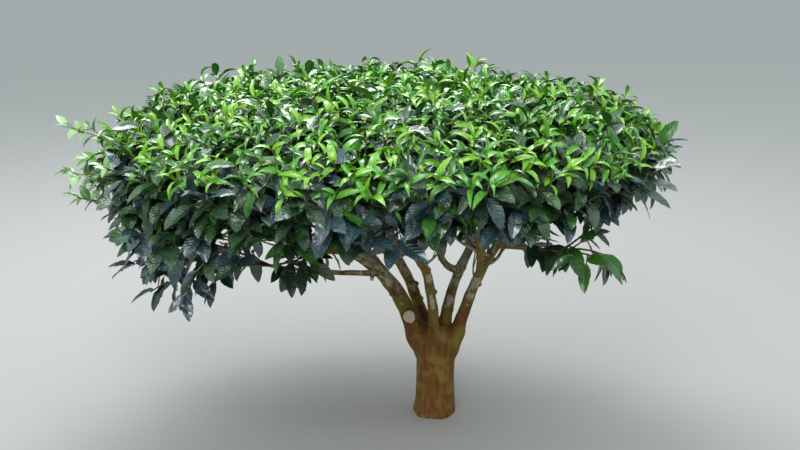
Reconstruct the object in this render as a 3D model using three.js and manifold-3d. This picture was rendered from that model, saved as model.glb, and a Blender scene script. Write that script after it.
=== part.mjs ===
// A plucked tea bush: a short stout trunk that forks low into spreading boughs, each of which
// carries one mass of the wide, flat-domed crown. Millimetres, +Z up, the front is -Y, and the
// origin is the centre of the trunk's flat cut at ground level.
import * as THREE from "three";
import { mergeVertices } from "three/addons/utils/BufferGeometryUtils.js";
import Module from "manifold-3d";

const wasm = await Module();
wasm.setup();

const GAP = 0.3; // between solids that meet
const SEED = 1848;
const FINEST_EDGE = 0.8; // shorter edges, left where leaves are fused, are closed up
const GOLDEN_ANGLE = 137.5; // degrees from one leaf to the next round a twig

// The crown: an oval table of shoots, plucked to a low dome, with a skirt of older leaves.
const CROWN = {
  centreX: -121,
  halfWidth: 686,
  halfDepth: 560,
  peak: 850, // height of the leaf tips in the middle
  rim: 716, // and at the edge
  flatness: 4.3, // power of the dome: higher is flatter in the middle
  wave: 0.025, // share by which the outline wanders in and out
  skirt: 512, // underside of the leaves in the middle
  // The skirt rises or falls towards its edge on each side.
  skirtSides: [
    { towards: 270, by: 44 }, { towards: 0, by: 36 }, { towards: 90, by: 20 }, { towards: 203, by: -104 },
  ],
};
// A lens inside the leaves that they stand out of, this far from the crown's own outline.
const CORE = {
  topDepth: 80,
  rimDepth: 82,
  underside: 30,
  waist: 0.45, // height of its widest place, as a share of its thickness
  boxiness: 0.3, // 1 would be a true ellipsoid, 0 a drum
  lumps: 10, // how far its points stray up and down
  around: 28, // points round it
  up: 8, // and from top to bottom
};
const CLEARANCE = 3; // from a mass to its neighbours and to the limbs

// Masses by their direction from the crown's centre, in degrees, and how far out they lie.
const INNER = {
  spread: 0.28,
  foot: 0.18, // how far out its bough comes up into it
  directions: { inner_right: 20, inner_left: 160, inner_front: 270 },
};
const OUTER = {
  spread: 0.75,
  foot: 0.48,
  directions: {
    right: -15, right_back: 25, back_right: 65, back: 105, back_left: 145,
    left: 185, left_front: 229, front: 274, front_right: 311,
  },
};
const FOOT_BELOW_SKIRT = 12;

const TRUNK = {
  rings: [
    // height, radius
    [0, 51], [14, 50], [52, 47.5], [100, 45.5], [140, 45], [170, 46], [196, 46], [216, 40], [232, 24],
  ],
  sides: 15,
  lean: 4, // sideways, from the ground to the crotch
  broadening: 0.12, // how much wider than deep it is at the crotch
  ribs: { count: 5, height: 0.05, upTo: 120 }, // low ridges above the roots, as a share of the radius
  crotch: 120, // height where the boughs' centre lines start
};

// Each bough leaves its parent along the azimuth, the climb and the handle in `leave`, and comes to
// the foot of its mass with the climb and the handle in `arrive`. Angles are in degrees.
// Boughs of the trunk stand at `seat` in its crotch and belong to it as far as `stub`. The others
// start `from` a bough, at a share of its length. `radii` are those of the root and of the tip.
const BOUGHS = [
  { name: "left", seat: [-16, 0], stub: 152, leave: [184, 74, 315], arrive: [10, 255], radii: [25, 10] },
  { name: "right", seat: [30, -2], stub: 128, leave: [-10, 76, 190], arrive: [44, 120], radii: [18, 9] },
  { name: "right_back", seat: [8, 2], stub: 134, leave: [20, 83, 200], arrive: [30, 170], radii: [16.5, 9] },
  { name: "front", seat: [-1, -22], stub: 122, leave: [264, 88, 335], arrive: [30, 150], radii: [14.5, 9] },
  { name: "back", seat: [-14, 20], stub: 128, leave: [92, 78, 210], arrive: [44, 120], radii: [17, 9] },
  { name: "left_front", from: ["left", 0.58], leave: [225, 25, 60], arrive: [30, 70], radii: [10.5, 8] },
  { name: "back_left", from: ["back", 0.5], leave: [160, 50, 90], arrive: [22, 120], radii: [11.5, 8] },
  { name: "back_right", from: ["right_back", 0.66], leave: [100, 50, 60], arrive: [45, 60], radii: [10, 8] },
  { name: "front_right", from: ["right", 0.56], leave: [-75, 45, 70], arrive: [35, 80], radii: [10.5, 8] },
  { name: "inner_left", from: ["left", 0.42], leave: [140, 75, 50], arrive: [70, 50], radii: [9, 7.5] },
  { name: "inner_right", from: ["right_back", 0.53], leave: [190, 5, 60], arrive: [85, 60], radii: [9, 7.5] },
  { name: "inner_front", from: ["front", 0.62], leave: [230, 75, 40], arrive: [80, 40], radii: [9, 7.5] },
  { name: "low_left", from: ["left", 0.44], leave: [222, 12, 90], arrive: [20, 70], radii: [7.5, 5] },
  { name: "low_right", from: ["right", 0.8], leave: [-50, 10, 50], arrive: [10, 50], radii: [7, 5] },
];
const BOUGH_TAPER = 0.8; // power of the taper: below 1 it is quicker near the root
// The root of a trunk bough is slim inside the trunk and swells where it webs with its neighbours.
const WEBBING = { swell: 0.3, at: 78, spread: 45, slim: 0.3, slimWithin: 40 };
const BOUGH_SIDES = 7;
const BOUGH_STEP = 52; // length of one segment of a bough

// The cut face of a pruned limb, and a burl below it, both on the left of the crotch.
const PRUNED_STUB = { at: [-48, -6, 254], azimuth: 246, climb: 12, length: 38, radius: 14.5 };
const BURL = { at: [-43, -8, 186], radius: 21 };

// Sprays of old leaves that hang below the skirt, where the low boughs end.
const DROOPING = {
  low_left: { foot: [-352, -172, 425], azimuths: [146, 178, 208], reach: 235, fall: 62, lowest: 352 },
  low_right: { foot: [250, -180, 470], azimuths: [-85, -40, 8], reach: 125, fall: 62, lowest: 372 },
};
const DROOP_TWIG = { root: 6, tip: 3.4, stem: 34, climb: 12, leaves: 6, firstLeaf: 0.3, lean: 48 };
// Long shoots that stand out of the crown's left edge, with the height and the place of their tips.
const STRAY_SHOOTS = [
  { azimuth: 172, height: 662, tip: [-822, 40, 706] },
  { azimuth: 181, height: 600, tip: [-815, -30, 622] },
  { azimuth: 187, height: 566, tip: [-788, -96, 574] },
];

// Leaves are larger than life, as there are far fewer of them.
const YOUNG_LEAF = { length: 112, width: 0.42, arch: 0.13, thickness: 0.03 };
const OLD_LEAF = { length: 138, width: 0.47, arch: 0.1, thickness: 0.026 };
const HANGING_LEAF = { length: 108, width: 0.5, arch: 0.1, thickness: 0.03 };
const LEAF_WIDEST = 0.46; // share of its length where it is widest
const LEAF_SIZES = [1.2, 1.1, 1, 0.9, 0.8, 0.7]; // the largest that fits is taken
const LEAF_TURN = 40; // step in which a leaf that doesn't fit is turned round its twig, in degrees
const LEAF_CLEARANCE = 31; // least distance between the outer halves of two leaves
const TOP_SPACING = 121; // between shoots on the table
const RIM_SPACING = 134; // and round the edge
const ROWS_CLOSER = 0.88; // rows of the table against the spacing, as they are staggered
const RIM_ROWS = [0.06, 0.42, 0.8]; // share of the way up the edge
const YOUNG_FROM = 0.7; // and where old leaves give way to young ones
const TABLE_SPREAD = 0.84; // where the table ends and the edge begins
const BORDER = 14; // from a shoot to the border of its mass
// A shoot's twig, how deep it starts in the core, and how far its leaves lean from it, in degrees,
// at its foot and at its tip.
const SHOOT = { root: 6, tip: 3.6, sunk: 14, above: 30, strays: 30, wobble: 14 };
const TOP_LEAVES = { count: 4, leans: [62, 30], outwardTilt: 55 };
const RIM_LEAVES = { count: 3, leans: [60, 24], climbs: [-42, 42], sunk: 10 };
const STRAY_LEAVES = { count: 5, leans: [60, 20] };
const STEM = { sides: 5, inward: 0.4, head: 0.35, handle: 40 };
const FORKS = { count: 2, reach: 93, root: 5.5, tip: 4, aboveUnderside: 30 };
const LIMB_MARGIN = 12; // between a leaf and a limb
const LIMB_SAMPLE = 10; // steps along a limb when leaves are kept clear of it

const BARK = new THREE.MeshStandardMaterial({ color: "#6b5a30", roughness: 0.85, metalness: 0 });
const PALE_BARK = new THREE.MeshStandardMaterial({ color: "#8a8068", roughness: 0.9, metalness: 0 });
const LEAVES = new THREE.MeshStandardMaterial({ color: "#4d9a2b", roughness: 0.4, metalness: 0 });
const OLD_LEAVES = new THREE.MeshStandardMaterial({ color: "#1f4a34", roughness: 0.35, metalness: 0 });

const vector = (x, y, z) => new THREE.Vector3(x, y, z);
const radians = THREE.MathUtils.degToRad;
const mix = THREE.MathUtils.lerp;
const UP = vector(0, 0, 1);

// A direction from its azimuth and its climb, in degrees.
function heading(azimuth, climb) {
  const a = radians(azimuth);
  const c = radians(climb);
  return vector(Math.cos(c) * Math.cos(a), Math.cos(c) * Math.sin(a), Math.sin(c));
}

// Evenly spread numbers from 0 to 1 that are the same on every run.
function seeded(seed) {
  let state = seed >>> 0;
  return () => {
    state = (state + 0x6d2b79f5) >>> 0;
    let t = Math.imul(state ^ (state >>> 15), state | 1);
    t ^= t + Math.imul(t ^ (t >>> 7), t | 61);
    return ((t ^ (t >>> 14)) >>> 0) / 4294967296;
  };
}

// The bare shape of a geometry: its points, each of them once, and its triangles.
function bareShape(geometry) {
  const bare = new THREE.BufferGeometry().setAttribute("position", geometry.getAttribute("position"));
  if (geometry.index) bare.setIndex(geometry.index);
  return mergeVertices(bare, 1e-3);
}

function solidOf(geometry) {
  const merged = bareShape(geometry);
  const vertProperties = new Float32Array(merged.getAttribute("position").array);
  const triVerts = new Uint32Array(merged.index.array);
  return new wasm.Manifold(new wasm.Mesh({ numProp: 3, vertProperties, triVerts }));
}

// The largest piece of a solid, with any hollow inside it filled.
function oneBody(solid) {
  const bodies = solid.decompose().filter((body) => body.volume() > 0);
  return bodies.sort((a, b) => b.volume() - a.volume())[0];
}

function geometryOf(solid) {
  const mesh = solid.getMesh();
  return new THREE.BufferGeometry()
    .setAttribute("position", new THREE.BufferAttribute(new Float32Array(mesh.vertProperties), 3))
    .setIndex(new THREE.BufferAttribute(new Uint32Array(mesh.triVerts), 1));
}

// The crown's shape: `spread` is 0 at its centre and 1 on its outline.
function outlineWave(azimuth) {
  return 1 + CROWN.wave * (Math.sin(3 * azimuth + 1.2) + 0.7 * Math.sin(5 * azimuth - 0.6));
}

function crownPoint(direction, spread) {
  const a = radians(direction);
  const reach = spread * outlineWave(a);
  return [CROWN.centreX + CROWN.halfWidth * reach * Math.cos(a), CROWN.halfDepth * reach * Math.sin(a)];
}

function crownPolar(x, y) {
  const across = (x - CROWN.centreX) / CROWN.halfWidth;
  const deep = y / CROWN.halfDepth;
  const azimuth = Math.atan2(deep, across);
  return { azimuth, spread: Math.hypot(across, deep) / outlineWave(azimuth) };
}

function tableHeight(x, y) {
  return CROWN.rim + (CROWN.peak - CROWN.rim) * (1 - crownPolar(x, y).spread ** CROWN.flatness);
}

function skirtHeight(x, y) {
  const { azimuth, spread } = crownPolar(x, y);
  let height = CROWN.skirt;
  for (const side of CROWN.skirtSides) {
    height += side.by * Math.max(0, Math.cos(azimuth - radians(side.towards))) ** 2 * spread ** 2;
  }
  return height;
}

// Masses and the spaces that they keep to.
function massSeeds() {
  const seeds = [];
  for (const ring of [INNER, OUTER]) {
    for (const [name, direction] of Object.entries(ring.directions)) {
      const [x, y] = crownPoint(direction, ring.spread);
      const [footX, footY] = crownPoint(direction, ring.foot);
      const foot = vector(footX, footY, skirtHeight(footX, footY) - FOOT_BELOW_SKIRT);
      seeds.push({ name, x, y, foot });
    }
  }
  return seeds;
}

const MASSES = massSeeds();

// How far a point is inside the cell of a mass, measured from its nearest border.
function insideCell(mass, x, y) {
  let least = Infinity;
  for (const other of MASSES) {
    if (other === mass) continue;
    const apart = Math.hypot(other.x - mass.x, other.y - mass.y);
    const ownSquare = (x - mass.x) ** 2 + (y - mass.y) ** 2;
    const otherSquare = (x - other.x) ** 2 + (y - other.y) ** 2;
    least = Math.min(least, (otherSquare - ownSquare) / (2 * apart));
  }
  return least;
}

function inCrown(mass, point) {
  return (
    insideCell(mass, point.x, point.y) > CLEARANCE &&
    crownPolar(point.x, point.y).spread < 1 &&
    point.z < tableHeight(point.x, point.y) &&
    point.z > skirtHeight(point.x, point.y)
  );
}

// A cylinder bent along a curve, from the share `from` to the share `to` of its length.
function tube(curve, from, to, radiusAt, sides, segments) {
  const geometry = new THREE.CylinderGeometry(1, 1, 1, sides, segments);
  const position = geometry.getAttribute("position");
  const start = curve.getTangentAt(0);
  const reference = vector().crossVectors(start, Math.abs(start.z) > 0.95 ? vector(1, 0, 0) : UP);
  for (let i = 0; i < position.count; i++) {
    const share = mix(from, to, position.getY(i) + 0.5);
    const tangent = curve.getTangentAt(share);
    const side = reference.clone().addScaledVector(tangent, -reference.dot(tangent)).normalize();
    const other = vector().crossVectors(side, tangent);
    const radius = radiusAt(share);
    const point = curve.getPointAt(share);
    point.addScaledVector(side, radius * position.getX(i)).addScaledVector(other, radius * position.getZ(i));
    position.setXYZ(i, point.x, point.y, point.z);
  }
  return solidOf(geometry);
}

function twig(from, to, rootRadius, tipRadius, sides = 3) {
  return tube(new THREE.LineCurve3(from, to), 0, 1, (share) => mix(rootRadius, tipRadius, share), sides, 1);
}

// Boughs
function boughCurve(spec, boughs) {
  const foot = DROOPING[spec.name]
    ? vector(...DROOPING[spec.name].foot)
    : MASSES.find((mass) => mass.name === spec.name).foot.clone();
  const root = spec.from
    ? boughs.get(spec.from[0]).curve.getPointAt(spec.from[1])
    : vector(spec.seat[0], spec.seat[1], TRUNK.crotch);
  const [azimuth, climb, rise] = spec.leave;
  const [settleClimb, settle] = spec.arrive;
  const onward = THREE.MathUtils.radToDeg(Math.atan2(foot.y - root.y, foot.x - root.x));
  const leave = root.clone().addScaledVector(heading(azimuth, climb), rise);
  const arrive = foot.clone().addScaledVector(heading(onward, settleClimb), -settle);
  return new THREE.CubicBezierCurve3(root, leave, arrive, foot);
}

function webbing(spec, distance) {
  if (spec.from) return 1;
  const swell = WEBBING.swell * Math.exp(-(((distance - WEBBING.at) / WEBBING.spread) ** 2));
  return 1 + swell - WEBBING.slim * Math.exp(-((distance / WEBBING.slimWithin) ** 2));
}

function layOutBoughs() {
  const boughs = new Map();
  for (const spec of BOUGHS) {
    const curve = boughCurve(spec, boughs);
    const length = curve.getLength();
    const [root, tip] = spec.radii;
    const radiusAt = (share) => mix(root, tip, share ** BOUGH_TAPER) * webbing(spec, share * length);
    const segments = Math.max(3, Math.round(length / BOUGH_STEP));
    boughs.set(spec.name, { ...spec, curve, length, tip, radiusAt, segments });
  }
  return boughs;
}

const boughs = layOutBoughs();

// A bough's tube from where it leaves the trunk, or from inside its parent, `extra` thicker.
function boughTube(bough, extra = 0) {
  const from = bough.from ? 0 : (bough.stub + GAP) / bough.length;
  return tube(bough.curve, from, 1, (share) => bough.radiusAt(share) + extra, BOUGH_SIDES, bough.segments);
}

function boughSolid(bough) {
  const parent = bough.from ? boughTube(boughs.get(bough.from[0]), 1.2 * GAP) : trunkSolid(GAP);
  return oneBody(boughTube(bough).subtract(parent));
}

// Points along every bough, with its radius there, for keeping leaves clear of it.
function limbSamples() {
  const samples = [];
  for (const { name, curve, length, radiusAt } of boughs.values()) {
    const count = Math.ceil(length / LIMB_SAMPLE);
    for (let i = 0; i <= count; i++) {
      samples.push({ name, at: curve.getPointAt(i / count), radius: radiusAt(i / count) });
    }
  }
  return samples;
}

const LIMBS = limbSamples();

function touchesLimb(point, margin, except) {
  return LIMBS.some((limb) => limb.name !== except && limb.at.distanceTo(point) < limb.radius + margin);
}

// The trunk's barrel, with ridges above its roots, a lean and a crotch that is wider than deep.
function barrel(extra) {
  const profile = TRUNK.rings.map(([z, r]) => new THREE.Vector2(r + extra, z));
  const top = TRUNK.rings.at(-1)[0];
  const closed = [new THREE.Vector2(0, 0), ...profile, new THREE.Vector2(0, top)];
  const turned = new THREE.LatheGeometry(closed, TRUNK.sides).rotateX(Math.PI / 2);
  const position = turned.getAttribute("position");
  for (let i = 0; i < position.count; i++) {
    const height = position.getZ(i);
    const azimuth = Math.atan2(position.getY(i), position.getX(i));
    const fade = Math.max(0, 1 - height / TRUNK.ribs.upTo);
    const ribs = 1 + TRUNK.ribs.height * Math.sin(TRUNK.ribs.count * azimuth + 0.7) * fade;
    const broad = 1 + TRUNK.broadening * (height / top) ** 3;
    position.setX(i, position.getX(i) * ribs * broad + (TRUNK.lean * height) / top);
    position.setY(i, position.getY(i) * ribs);
  }
  return solidOf(turned);
}

// The trunk with the roots of its boughs, `extra` thicker all round.
function trunkSolid(extra = 0) {
  const solids = [barrel(extra)];
  for (const bough of boughs.values()) {
    if (bough.from) continue;
    const radiusAt = (share) => bough.radiusAt(share) + extra;
    solids.push(tube(bough.curve, 0, bough.stub / bough.length, radiusAt, BOUGH_SIDES, 4));
  }
  const { at, azimuth, climb, length, radius } = PRUNED_STUB;
  const root = vector(...at);
  const tip = root.clone().addScaledVector(heading(azimuth, climb), length);
  solids.push(twig(root, tip, radius + 2 + extra, radius + extra, 10));
  solids.push(solidOf(new THREE.IcosahedronGeometry(BURL.radius + extra, 1).translate(...BURL.at)));
  return oneBody(wasm.Manifold.union(solids));
}

// A leaf of eight faces: root, tip, two edges and a keel above and below, arched along its length.
function leafParts(root, along, kind, size) {
  const length = kind.length * size;
  const across = vector().crossVectors(UP, along);
  if (across.lengthSq() < 0.01) across.set(1, 0, 0);
  across.normalize();
  const face = vector().crossVectors(along, across);
  const middle = root.clone().addScaledVector(along, LEAF_WIDEST * length);
  middle.addScaledVector(face, kind.arch * length);
  const tip = root.clone().addScaledVector(along, length);
  const half = (kind.width * length) / 2;
  const thick = (kind.thickness * length) / 2;
  return { root, tip, middle, across, face, half, thick };
}

// A place at the leaf's middle, a share of its half width across and of its half thickness up.
function atMiddle(leaf, across, up) {
  const point = leaf.middle.clone().addScaledVector(leaf.across, leaf.half * across);
  return point.addScaledVector(leaf.face, leaf.thick * up);
}

function leafPoints(leaf) {
  return [leaf.tip, atMiddle(leaf, 1, 0), atMiddle(leaf, -1, 0), atMiddle(leaf, 0, 1), atMiddle(leaf, 0, -1)];
}

function leafSolid(leaf) {
  const geometry = new THREE.OctahedronGeometry(1);
  const position = geometry.getAttribute("position");
  for (let i = 0; i < position.count; i++) {
    const end = Math.round(position.getX(i));
    const ends = end > 0 ? leaf.tip : leaf.root;
    const point = end === 0 ? atMiddle(leaf, position.getY(i), position.getZ(i)) : ends;
    position.setXYZ(i, point.x, point.y, point.z);
  }
  return solidOf(geometry);
}

// Whether the outer half of a leaf comes too near to that of another.
function crowded(leaf, placed) {
  const own = [leaf.middle, leaf.middle.clone().lerp(leaf.tip, 0.5), leaf.tip];
  return placed.some((other) => {
    if (other.middle.distanceTo(leaf.middle) > 2 * OLD_LEAF.length) return false;
    const others = [other.middle, other.middle.clone().lerp(other.tip, 0.5), other.tip];
    return own.some((point) => others.some((place) => place.distanceTo(point) < LEAF_CLEARANCE));
  });
}

// One leaf on a twig, turned round it and made smaller until it fits its space, or none.
function fittedLeaf(axisPoint, twigWay, turn, lean, kind, space) {
  const side = vector().crossVectors(twigWay, Math.abs(twigWay.z) > 0.9 ? vector(1, 0, 0) : UP).normalize();
  for (const tries of [0, 1, -1, 2, -2, 3]) {
    const out = side.clone().applyAxisAngle(twigWay, radians(turn + LEAF_TURN * tries));
    const along = twigWay.clone().multiplyScalar(Math.cos(radians(lean)));
    along.addScaledVector(out, Math.sin(radians(lean))).normalize();
    for (const size of LEAF_SIZES) {
      const leaf = leafParts(axisPoint, along, kind, size);
      if (leafPoints(leaf).every(space.holds) && !crowded(leaf, space.placed)) {
        space.placed.push(leaf);
        return leaf;
      }
    }
  }
  return null;
}

// A shoot: a twig from inside the core out to its tip, with leaves turned round it.
function shoot(random, root, way, above, kind, leaves, space) {
  const tip = root.clone().addScaledVector(way, above);
  const solids = [twig(root.clone().addScaledVector(way, -SHOOT.sunk), tip, SHOOT.root, SHOOT.tip)];
  const turn = 360 * random();
  for (let i = 0; i < leaves.count; i++) {
    const share = (i + 0.6) / leaves.count;
    const at = root.clone().addScaledVector(way, above * mix(0.1, 0.92, share));
    const lean = mix(...leaves.leans, share) + SHOOT.wobble * (random() - 0.5);
    const leaf = fittedLeaf(at, way, turn + GOLDEN_ANGLE * i, lean, kind, space);
    if (leaf) solids.push(leafSolid(leaf));
  }
  return solids;
}

// The core is an oval lens inside the leaves. `round` is 0 at its axis and 1 on its edge.
const CORE_SPREAD = 1 - CORE.rimDepth / CROWN.halfDepth;

function coreHeight(x, y, round, side) {
  const top = tableHeight(x, y) - CORE.topDepth;
  const bottom = skirtHeight(x, y) + CORE.underside;
  const middle = mix(bottom, top, CORE.waist);
  return mix(middle, side > 0 ? top : bottom, (1 - round ** 2) ** (CORE.boxiness / 2));
}

function coreTop(x, y) {
  return coreHeight(x, y, Math.min(1, crownPolar(x, y).spread / CORE_SPREAD), 1);
}

// The whole crown's core, before it is cut into cells.
function crownLens() {
  const geometry = bareShape(new THREE.SphereGeometry(1, CORE.around, CORE.up).rotateX(Math.PI / 2));
  const position = geometry.getAttribute("position");
  const random = seeded(SEED);
  for (let i = 0; i < position.count; i++) {
    const round = Math.min(1, Math.hypot(position.getX(i), position.getY(i)));
    const direction = THREE.MathUtils.radToDeg(Math.atan2(position.getY(i), position.getX(i)));
    const [x, y] = crownPoint(direction, CORE_SPREAD * round);
    const lump = CORE.lumps * (2 * random() - 1);
    position.setXYZ(i, x, y, coreHeight(x, y, round, position.getZ(i)) + lump);
  }
  return solidOf(geometry);
}

// The plan of a mass's cell, a polygon cut back from its neighbours by the clearance.
function cellPlan(mass) {
  const reach = 2 * CROWN.halfWidth;
  let plan = [[-reach, -reach], [reach, -reach], [reach, reach], [-reach, reach]];
  for (const other of MASSES) {
    if (other === mass) continue;
    const apart = Math.hypot(other.x - mass.x, other.y - mass.y);
    const [nx, ny] = [(other.x - mass.x) / apart, (other.y - mass.y) / apart];
    const limit = nx * mass.x + ny * mass.y + apart / 2 - CLEARANCE;
    const cut = [];
    plan.forEach(([x, y], i) => {
      const [nextX, nextY] = plan[(i + 1) % plan.length];
      const here = nx * x + ny * y - limit;
      const next = nx * nextX + ny * nextY - limit;
      if (here <= 0) cut.push([x, y]);
      if (here < 0 !== next < 0) {
        const share = here / (here - next);
        cut.push([mix(x, nextX, share), mix(y, nextY, share)]);
      }
    });
    plan = cut;
  }
  return plan;
}

const lens = crownLens();

function coreOf(mass) {
  const shape = new THREE.Shape(cellPlan(mass).map(([x, y]) => new THREE.Vector2(x, y)));
  const prism = new THREE.ExtrudeGeometry(shape, { depth: 2 * CROWN.peak, bevelEnabled: false });
  return lens.intersect(solidOf(prism));
}

// The places of shoots over the table, in staggered rows, and round the edge in rows.
function topPlaces(mass) {
  const places = [];
  const rows = Math.ceil(CROWN.halfDepth / TOP_SPACING) + 1;
  const columns = Math.ceil((1.1 * CROWN.halfWidth) / TOP_SPACING) + 1;
  for (let row = -rows; row <= rows; row++) {
    for (let column = -columns; column <= columns; column++) {
      const x = CROWN.centreX + (column + (row % 2 ? 0.5 : 0)) * TOP_SPACING;
      const y = row * TOP_SPACING * ROWS_CLOSER;
      if (crownPolar(x, y).spread < TABLE_SPREAD && insideCell(mass, x, y) > BORDER) places.push([x, y]);
    }
  }
  return places;
}

function rimPlaces(mass) {
  const places = [];
  const round = Math.PI * (CROWN.halfWidth + CROWN.halfDepth);
  const count = Math.round(round / RIM_SPACING);
  RIM_ROWS.forEach((share, row) => {
    for (let i = 0; i < count; i++) {
      const direction = (360 * (i + 0.5 * (row % 2))) / count;
      const [x, y] = crownPoint(direction, CORE_SPREAD - 0.01);
      if (insideCell(mass, x, y) > BORDER) places.push({ direction, x, y, share });
    }
  });
  return places;
}

// The stem that goes on from the bough's tip into the core, and the first twigs that it forks into.
function stemSolids(random, mass) {
  const bough = boughs.get(mass.name);
  const x = mix(mass.foot.x, mass.x, STEM.inward);
  const y = mix(mass.foot.y, mass.y, STEM.inward);
  const head = vector(x, y, mix(skirtHeight(x, y), tableHeight(x, y), STEM.head));
  const way = bough.curve.getTangentAt(1);
  const start = mass.foot.clone().addScaledVector(way, GAP);
  const stem = new THREE.QuadraticBezierCurve3(start, start.clone().addScaledVector(way, STEM.handle), head);
  const solids = [tube(stem, 0, 1, (share) => mix(bough.tip, FORKS.root, share), STEM.sides, 2)];
  for (let i = 0; i < FORKS.count; i++) {
    const azimuth = 360 * ((i + random()) / FORKS.count);
    const end = vector(mass.x, mass.y, 0).addScaledVector(heading(azimuth, 0), FORKS.reach);
    end.z = skirtHeight(end.x, end.y) + CORE.underside + FORKS.aboveUnderside;
    const from = stem.getPointAt(mix(0.25, 0.6, random()));
    const onTheWay = [0.35, 0.6, 0.85].map((share) => from.clone().lerp(end, share));
    const clear = onTheWay.every((point) => !touchesLimb(point, LIMB_MARGIN, mass.name));
    if (clear && insideCell(mass, end.x, end.y) > BORDER) solids.push(twig(from, end, FORKS.root, FORKS.tip));
  }
  return solids;
}

function topShoots(random, mass, space) {
  return topPlaces(mass).flatMap((place) => {
    const [x, y] = place.map((value) => value + SHOOT.strays * (random() - 0.5));
    const outward = crownPolar(x, y);
    const tilt = TOP_LEAVES.outwardTilt * outward.spread ** 2 + SHOOT.wobble * (random() - 0.5);
    const azimuth = THREE.MathUtils.radToDeg(outward.azimuth) + 2 * SHOOT.wobble * (random() - 0.5);
    const way = heading(azimuth, 90 - tilt);
    return shoot(random, vector(x, y, coreTop(x, y)), way, SHOOT.above, YOUNG_LEAF, TOP_LEAVES, space);
  });
}

function rimShoots(random, mass, space) {
  return rimPlaces(mass).flatMap(({ direction, x, y, share }) => {
    const low = skirtHeight(x, y) + CORE.underside + 2 * SHOOT.root;
    const high = tableHeight(x, y) - CORE.topDepth - 2 * SHOOT.root;
    const climb = mix(...RIM_LEAVES.climbs, share) + SHOOT.wobble * (random() - 0.5);
    const way = heading(direction + 2 * SHOOT.wobble * (random() - 0.5), climb);
    const root = vector(x, y, mix(low, high, share)).addScaledVector(way, -RIM_LEAVES.sunk);
    const kind = share > YOUNG_FROM ? YOUNG_LEAF : OLD_LEAF;
    return shoot(random, root, way, SHOOT.above, kind, RIM_LEAVES, space);
  });
}

function denseMass(mass, seed) {
  const random = seeded(seed);
  const holds = (point) => inCrown(mass, point) && !touchesLimb(point, LIMB_MARGIN, "");
  const space = { holds, placed: [] };
  const solids = [coreOf(mass), ...stemSolids(random, mass)];
  solids.push(...topShoots(random, mass, space), ...rimShoots(random, mass, space));
  if (mass.name === "left") solids.push(...strayShoots(random, mass, space.placed));
  return oneBody(clearOfBoughs(wasm.Manifold.union(solids))).simplify(FINEST_EDGE);
}

function strayShoots(random, mass, placed) {
  const space = { holds: (point) => insideCell(mass, point.x, point.y) > CLEARANCE, placed };
  return STRAY_SHOOTS.flatMap((stray) => {
    const [x, y] = crownPoint(stray.azimuth, CORE_SPREAD - 0.05);
    const root = vector(x, y, stray.height);
    const way = vector(...stray.tip).sub(root);
    const above = way.length();
    return shoot(random, root, way.normalize(), above, YOUNG_LEAF, STRAY_LEAVES, space);
  });
}

function clearOfBoughs(solid) {
  for (const bough of boughs.values()) {
    const grown = boughTube(bough, CLEARANCE / 2);
    if (solid.intersect(grown).volume() > 0) solid = solid.subtract(grown);
  }
  return solid;
}

// A spray without a core: twigs that bend down from one stem, with old leaves along them.
function droopingMass(name, seed) {
  const random = seeded(seed);
  const spray = DROOPING[name];
  const bough = boughs.get(name);
  const way = bough.curve.getTangentAt(1);
  const foot = vector(...spray.foot).addScaledVector(way, GAP);
  const head = foot.clone().addScaledVector(way, DROOP_TWIG.stem);
  const below = ({ x, y, z }) => z < skirtHeight(x, y) - CLEARANCE && z > spray.lowest;
  const space = { holds: (point) => below(point) && !touchesLimb(point, LIMB_MARGIN, name), placed: [] };
  const solids = [twig(foot, head, bough.tip, DROOP_TWIG.root, STEM.sides)];
  for (const azimuth of spray.azimuths) {
    const reach = spray.reach * mix(0.85, 1.1, random());
    const fall = vector(0, 0, -spray.fall * mix(0.8, 1.1, random()));
    const end = head.clone().addScaledVector(heading(azimuth, 0), reach).add(fall);
    const bend = head.clone().addScaledVector(heading(azimuth, DROOP_TWIG.climb), 0.5 * reach);
    const curve = new THREE.QuadraticBezierCurve3(head.clone().addScaledVector(way, -4), bend, end);
    solids.push(tube(curve, 0, 1, (share) => mix(DROOP_TWIG.root, DROOP_TWIG.tip, share), 3, 3));
    for (let i = 0; i < DROOP_TWIG.leaves; i++) {
      const share = mix(DROOP_TWIG.firstLeaf, 0.97, i / (DROOP_TWIG.leaves - 1));
      const turn = 90 + 180 * i + 50 * (random() - 0.5);
      const [at, along] = [curve.getPointAt(share), curve.getTangentAt(share)];
      const leaf = fittedLeaf(at, along, turn, DROOP_TWIG.lean, HANGING_LEAF, space);
      if (leaf) solids.push(leafSolid(leaf));
    }
  }
  return oneBody(wasm.Manifold.union(solids)).simplify(FINEST_EDGE);
}

const bush = new THREE.Group();

function addNode(name, solid, material) {
  const mesh = new THREE.Mesh(geometryOf(solid), material);
  mesh.name = name;
  bush.add(mesh);
}

addNode("trunk", trunkSolid(), BARK);
for (const bough of boughs.values()) addNode("bough_" + bough.name, boughSolid(bough), PALE_BARK);
MASSES.forEach((mass, i) => addNode("foliage_" + mass.name, denseMass(mass, SEED + i), LEAVES));
Object.keys(DROOPING).forEach((name, i) => {
  addNode("foliage_" + name, droopingMass(name, SEED + MASSES.length + i), OLD_LEAVES);
});

export default bush;
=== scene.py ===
import math
from collections import namedtuple

import bpy
import numpy as np
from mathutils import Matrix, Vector, noise


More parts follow.
